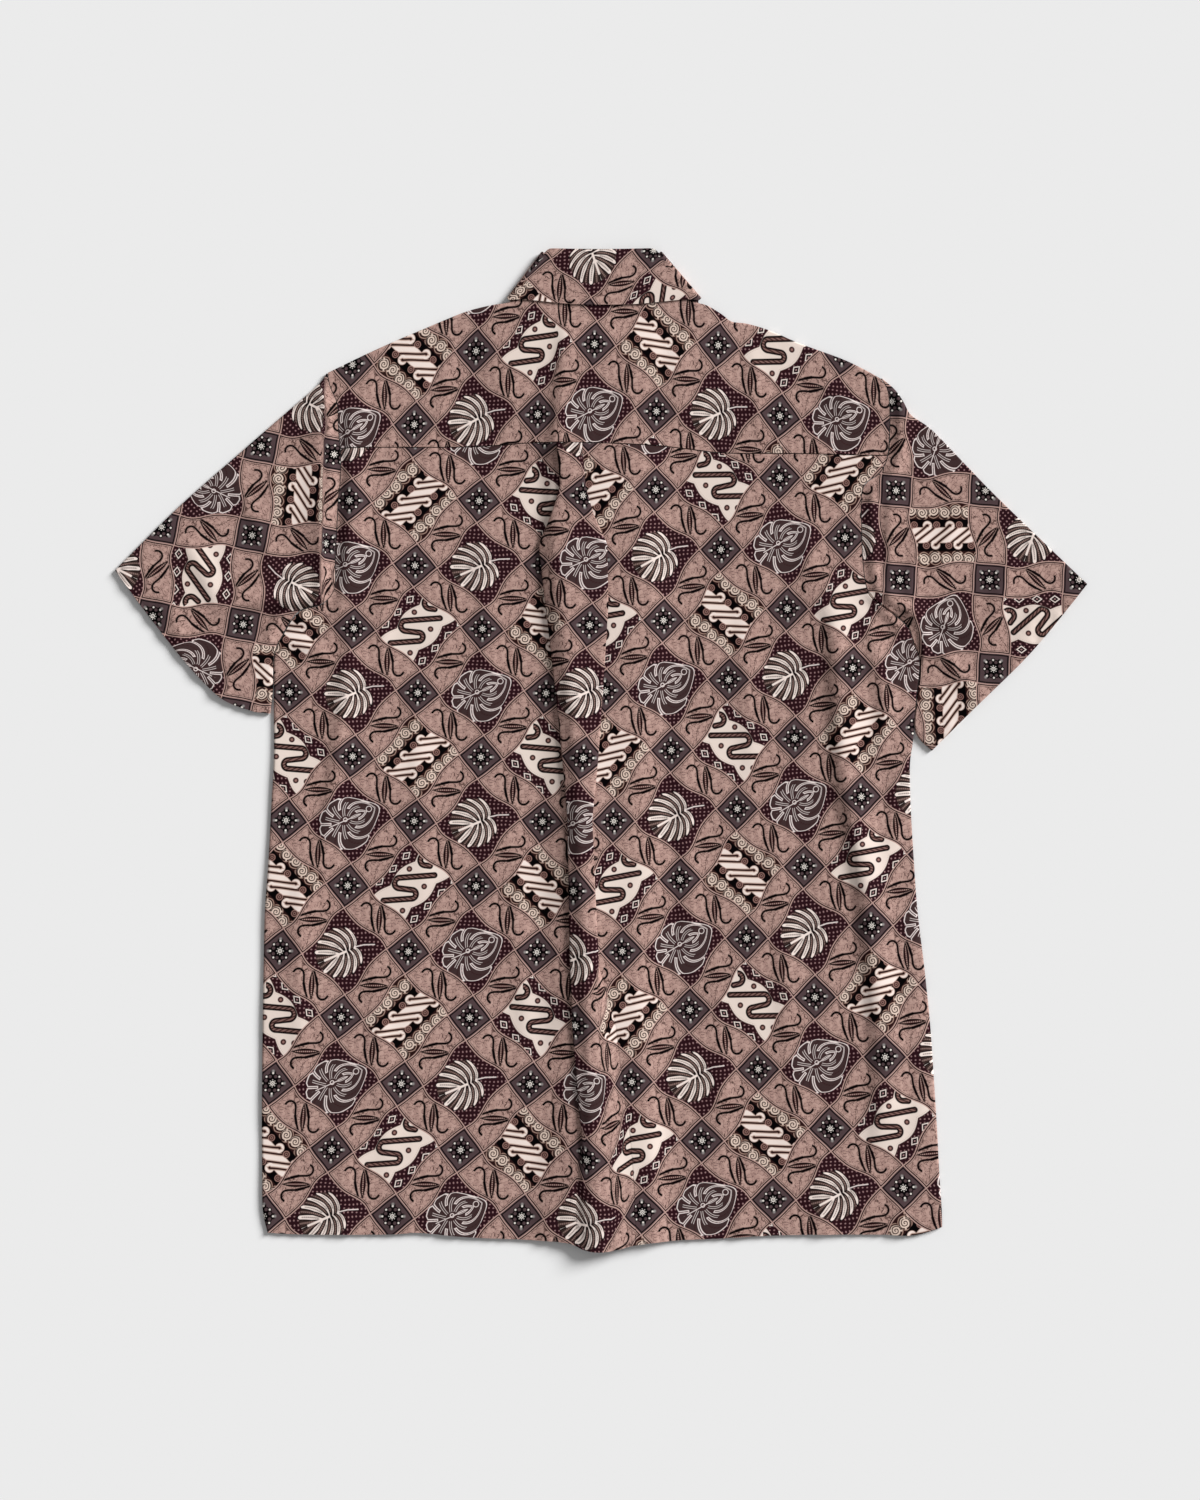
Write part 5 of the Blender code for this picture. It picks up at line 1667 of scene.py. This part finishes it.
def outward_of(ridge, free, side):
    """The level direction that points away from the collar at its side."""
    ahead = (ridge - free) / np.linalg.norm(ridge - free)
    return np.array((ahead[1], -ahead[0])) if side > 0 else np.array((-ahead[1], ahead[0]))


def finer(rows, along_parts, across_parts):
    """A smooth finer grid through a coarse one."""
    rows = np.array(rows)
    count, width = rows.shape[:2]
    walk = np.linspace(0.0, count - 1.0, (count - 1) * along_parts + 1)
    rows = through(rows.reshape(count, -1), walk).reshape(len(walk), width, -1)
    walk = np.linspace(0.0, width - 1.0, (width - 1) * across_parts + 1)
    return np.array([through(row, walk) for row in rows])


def stand_points(spots, outward, side_turn, part, side):
    """Points of the stand: bent round at its sides, else as high as the cloth they lie on."""
    if part == "side":
        spots = [p - outward * RIDGE_RADIUS * 2 for p in spots]
        return [turned_round(p, outward, STAND_FRONT_Z, STAND_BACK_Z, side_turn) for p in spots]
    if part == "back":
        return [(*p, STAND_BACK_Z) for p in spots]
    front_height = left_front_z if side < 0 else right_front_z
    return [(*p, float(front_height(p[0], p[1]))) for p in spots]


print("collar:", len(collar_stations()), "stations")

# %% Build the collar's fall
RIDGE_CLEAR = 0.5
RIDGE_TURNS = (0.0, 30.0, 60.0, 90.0, 120.0, 150.0, 180.0)
RIDGE_COLUMN = 14
FREE_COLUMN = 22

rows = []
for ridge, _seam, free, side_turn, part, side in collar_stations():
    up = (ridge - free) / np.linalg.norm(ridge - free)
    outward = outward_of(ridge, free, side)
    root = ridge - up * (RIDGE_CLEAR + RIDGE_RADIUS)
    spots = [root] + [ridge + (free - ridge) * share for share in (0.2, 0.4, 0.6, 0.8, 1.0)]
    stand = np.array(stand_points([root - up * RIDGE_RUN, root], outward, side_turn, part, side))
    if part == "side":
        fall = [turned_round(p, outward, WING_Z, LEAF_Z, side_turn) for p in spots]
    else:
        fall = [(*p, LEAF_Z if part == "back" else WING_Z) for p in spots]
    fall = np.array(fall)
    middle = (stand[1] + fall[0]) / 2
    half = (stand[1] - fall[0]) / 2
    row = [stand[0]]
    for angle in np.radians(RIDGE_TURNS):
        over = np.array((*up, 0.0)) * RIDGE_RADIUS * math.sin(angle)
        row.append(middle + half * math.cos(angle) + over)
    rows.append(row + list(fall[1:]))
rows = finer(rows, 5, 2)
ridge_line = rows[:, RIDGE_COLUMN]
off_centre = np.abs(ridge_line[:, 0] - CENTRE) + (ridge_line[:, 2] < BACK_Z) * 1000.0
centre_row = int(np.argmin(off_centre))

# The print is laid on the leaf as it shows, and further round by the length of the cloth
steps = np.linalg.norm(np.diff(rows[:, FREE_COLUMN], axis=0), axis=1)
walk = np.concatenate([[0.0], np.cumsum(steps)])
walk -= walk[centre_row]
steps = np.linalg.norm(np.diff(rows, axis=1), axis=2)
depth = np.concatenate([np.zeros((len(rows), 1)), np.cumsum(steps, axis=1)], axis=1)
depth -= depth[:, RIDGE_COLUMN : RIDGE_COLUMN + 1]
shown = (rows[..., 2] > BACK_Z + 2.0) & (np.abs(rows[..., 0] - CENTRE) < 90.0)
flat_x = np.where(shown, rows[..., 0], walk[:, None] + ridge_line[centre_row, 0])
flat_y = COLLAR[0].ridge_y - depth
fall, fall_area = cloth("collar_fall_cloth", rows, collar_print(flat_x, flat_y), "collar_fall")

# %% Build the collar's stand
clear = RIDGE_CLEAR + RIDGE_RADIUS + RIDGE_RUN + SEAM_GAP
rows = []
for ridge, seam, free, side_turn, part, side in collar_stations():
    top = ridge - (ridge - free) / np.linalg.norm(ridge - free) * clear
    up = (top - seam) / np.linalg.norm(top - seam)
    bottom = seam + up * (SIDE_RISE if part == "side" else SEAM_GAP)
    outward = outward_of(ridge, free, side)
    rows.append(stand_points([bottom, (bottom + top) / 2, top], outward, side_turn, part, side))
for end, side, height in ((0, 1, left_front_z), (-1, -1, right_front_z)):
    x = CENTRE + side * STAND_END
    row = [(x, y, float(height(x, y))) for _x, y, _z in rows[end]]
    rows.insert(0 if end == 0 else len(rows), row)
rows = finer(rows, 5, 4)
prints = collar_print(rows[..., 0], rows[..., 1])
stand, stand_area = cloth("collar_stand_cloth", rows, prints, "collar_stand")

# %% [markdown]
# ### Buttons
#
# Seven small buttons close the front, underneath. Each is turned from a disc: a raised rim,
# a dished face and four holes with thread across them. One is modelled and the others are
# copies with a mesh of their own.

# %% Button material
button_plastic, shader = start_material("button_plastic")
where = Reading.node("ShaderNodeTexCoord", output=3)
sockets = {"Vector": where, "Scale": 240.0, "Detail": 4.0, "Distortion": 1.5}
swirl = Reading.node("ShaderNodeTexNoise", None, sockets)
colour = paint(linear(52, 30, 28), linear(96, 62, 54), inside(swirl, 0.5, 0.3))
finish_material(shader, colour, swirl * 0.15 + 0.25)
print("button plastic: ready")

# %% Sewing thread
sewing_thread, shader = start_material("sewing_thread")
shader.inputs["Base Color"].default_value = linear(86, 62, 56)
shader.inputs["Roughness"].default_value = 0.8
print("sewing thread: ready")

# %% Sizes of a button
BUTTON_RIM = 1.2
BUTTON_DISH = 0.45
DISH_EDGE = 0.5
RIM_BEVEL = 0.4
DRILL_LENGTH = 4.0
HOLE_OFF = 1.0
HOLE_RADIUS = 0.5
THREAD_RADIUS = 0.22


def part_at_button(name, material):
    """Finish a part of the collar's button, which is under the collar's front edge."""
    ob = bpy.context.object
    ob.name = ob.data.name = name
    bpy.ops.object.transform_apply(location=True, rotation=True, scale=True)
    ob.data.materials.append(material)
    while ob.data.uv_layers:
        ob.data.uv_layers.remove(ob.data.uv_layers[0])
    return ob


print("button:", 2 * BUTTON_RADIUS, "mm across")

# %% Model the disc
# Its face is down: the rim is rounded, and the face inside it is pushed up
bpy.ops.object.select_all(action="DESELECT")
at_collar = Vector((CENTRE * MM, COLLAR_BUTTON_Y * MM, BUTTON_THICKNESS / 2 * MM))
bpy.ops.mesh.primitive_cylinder_add(
    vertices=40, radius=BUTTON_RADIUS * MM, depth=BUTTON_THICKNESS * MM, location=at_collar
)
disc = part_at_button("button_collar_disc", button_plastic)
bpy.ops.object.mode_set(mode="EDIT")
bpy.ops.mesh.select_mode(type="FACE")
bpy.ops.mesh.select_all(action="DESELECT")
face_down = bmesh.from_edit_mesh(disc.data)
for face in face_down.faces:
    face.select = face.normal.z < -0.9
bmesh.update_edit_mesh(disc.data)
bpy.ops.mesh.inset(thickness=BUTTON_RIM * MM, depth=0.0)
bpy.ops.mesh.inset(thickness=DISH_EDGE * MM, depth=-BUTTON_DISH * MM)
bpy.ops.object.mode_set(mode="OBJECT")
bevel = disc.modifiers.new("rim", "BEVEL")
bevel.width = RIM_BEVEL * MM
bevel.segments = 3
bpy.ops.object.modifier_apply(modifier="rim")
print("disc:", len(disc.data.polygons), "faces")

# %% Drill the disc
for side_x, side_y in ((-1, -1), (-1, 1), (1, -1), (1, 1)):
    bpy.ops.object.select_all(action="DESELECT")
    spot = at_collar + Vector((side_x * HOLE_OFF * MM, side_y * HOLE_OFF * MM, 0.0))
    bpy.ops.mesh.primitive_cylinder_add(
        vertices=16, radius=HOLE_RADIUS * MM, depth=DRILL_LENGTH * MM, location=spot
    )
    drill = bpy.context.object
    bpy.ops.object.transform_apply(location=True, rotation=True, scale=True)
    bpy.ops.object.select_all(action="DESELECT")
    disc.select_set(True)
    bpy.context.view_layer.objects.active = disc
    hole = disc.modifiers.new("hole", "BOOLEAN")
    hole.object = drill
    bpy.ops.object.modifier_apply(modifier="hole")
    bpy.data.meshes.remove(drill.data)
print("drilled:", len(disc.data.polygons), "faces")

# %% Thread the button
# Two strands cross its face, from hole to hole
strands = []
for side_y in (-1, 1):
    bpy.ops.object.select_all(action="DESELECT")
    spot = Vector((at_collar.x, at_collar.y + side_y * HOLE_OFF * MM, (BUTTON_DISH + 0.05) * MM))
    bpy.ops.mesh.primitive_cylinder_add(
        vertices=12, radius=THREAD_RADIUS * MM, depth=(HOLE_OFF + THREAD_RADIUS) * 2 * MM,
        location=spot, rotation=(0.0, math.pi / 2, 0.0),
    )
    strands.append(bpy.context.object)
for strand in strands:
    strand.select_set(True)
bpy.ops.object.join()
thread = part_at_button("button_collar_thread", sewing_thread)
print("thread:", len(thread.data.polygons), "faces")

# %% Finish the button and copy it
for part in (disc, thread):
    place_mesh(part)
    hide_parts("button_collar")
    for number in range(FRONT_BUTTONS):
        name = part.name.replace("collar", str(number + 1))
        copy = bpy.data.objects.new(name, part.data.copy())
        down = (FIRST_BUTTON_Y - BUTTON_PITCH * number - COLLAR_BUTTON_Y) * MM
        copy.data.transform(Matrix.Translation((0.0, down, 0.0)))
        bpy.context.scene.collection.objects.link(copy)
        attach(copy, "root")
        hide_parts(f"button_{number + 1}")
print("buttons:", FRONT_BUTTONS + 1)

# %% [markdown]
# ## Finish

print("cloth pieces: 8")
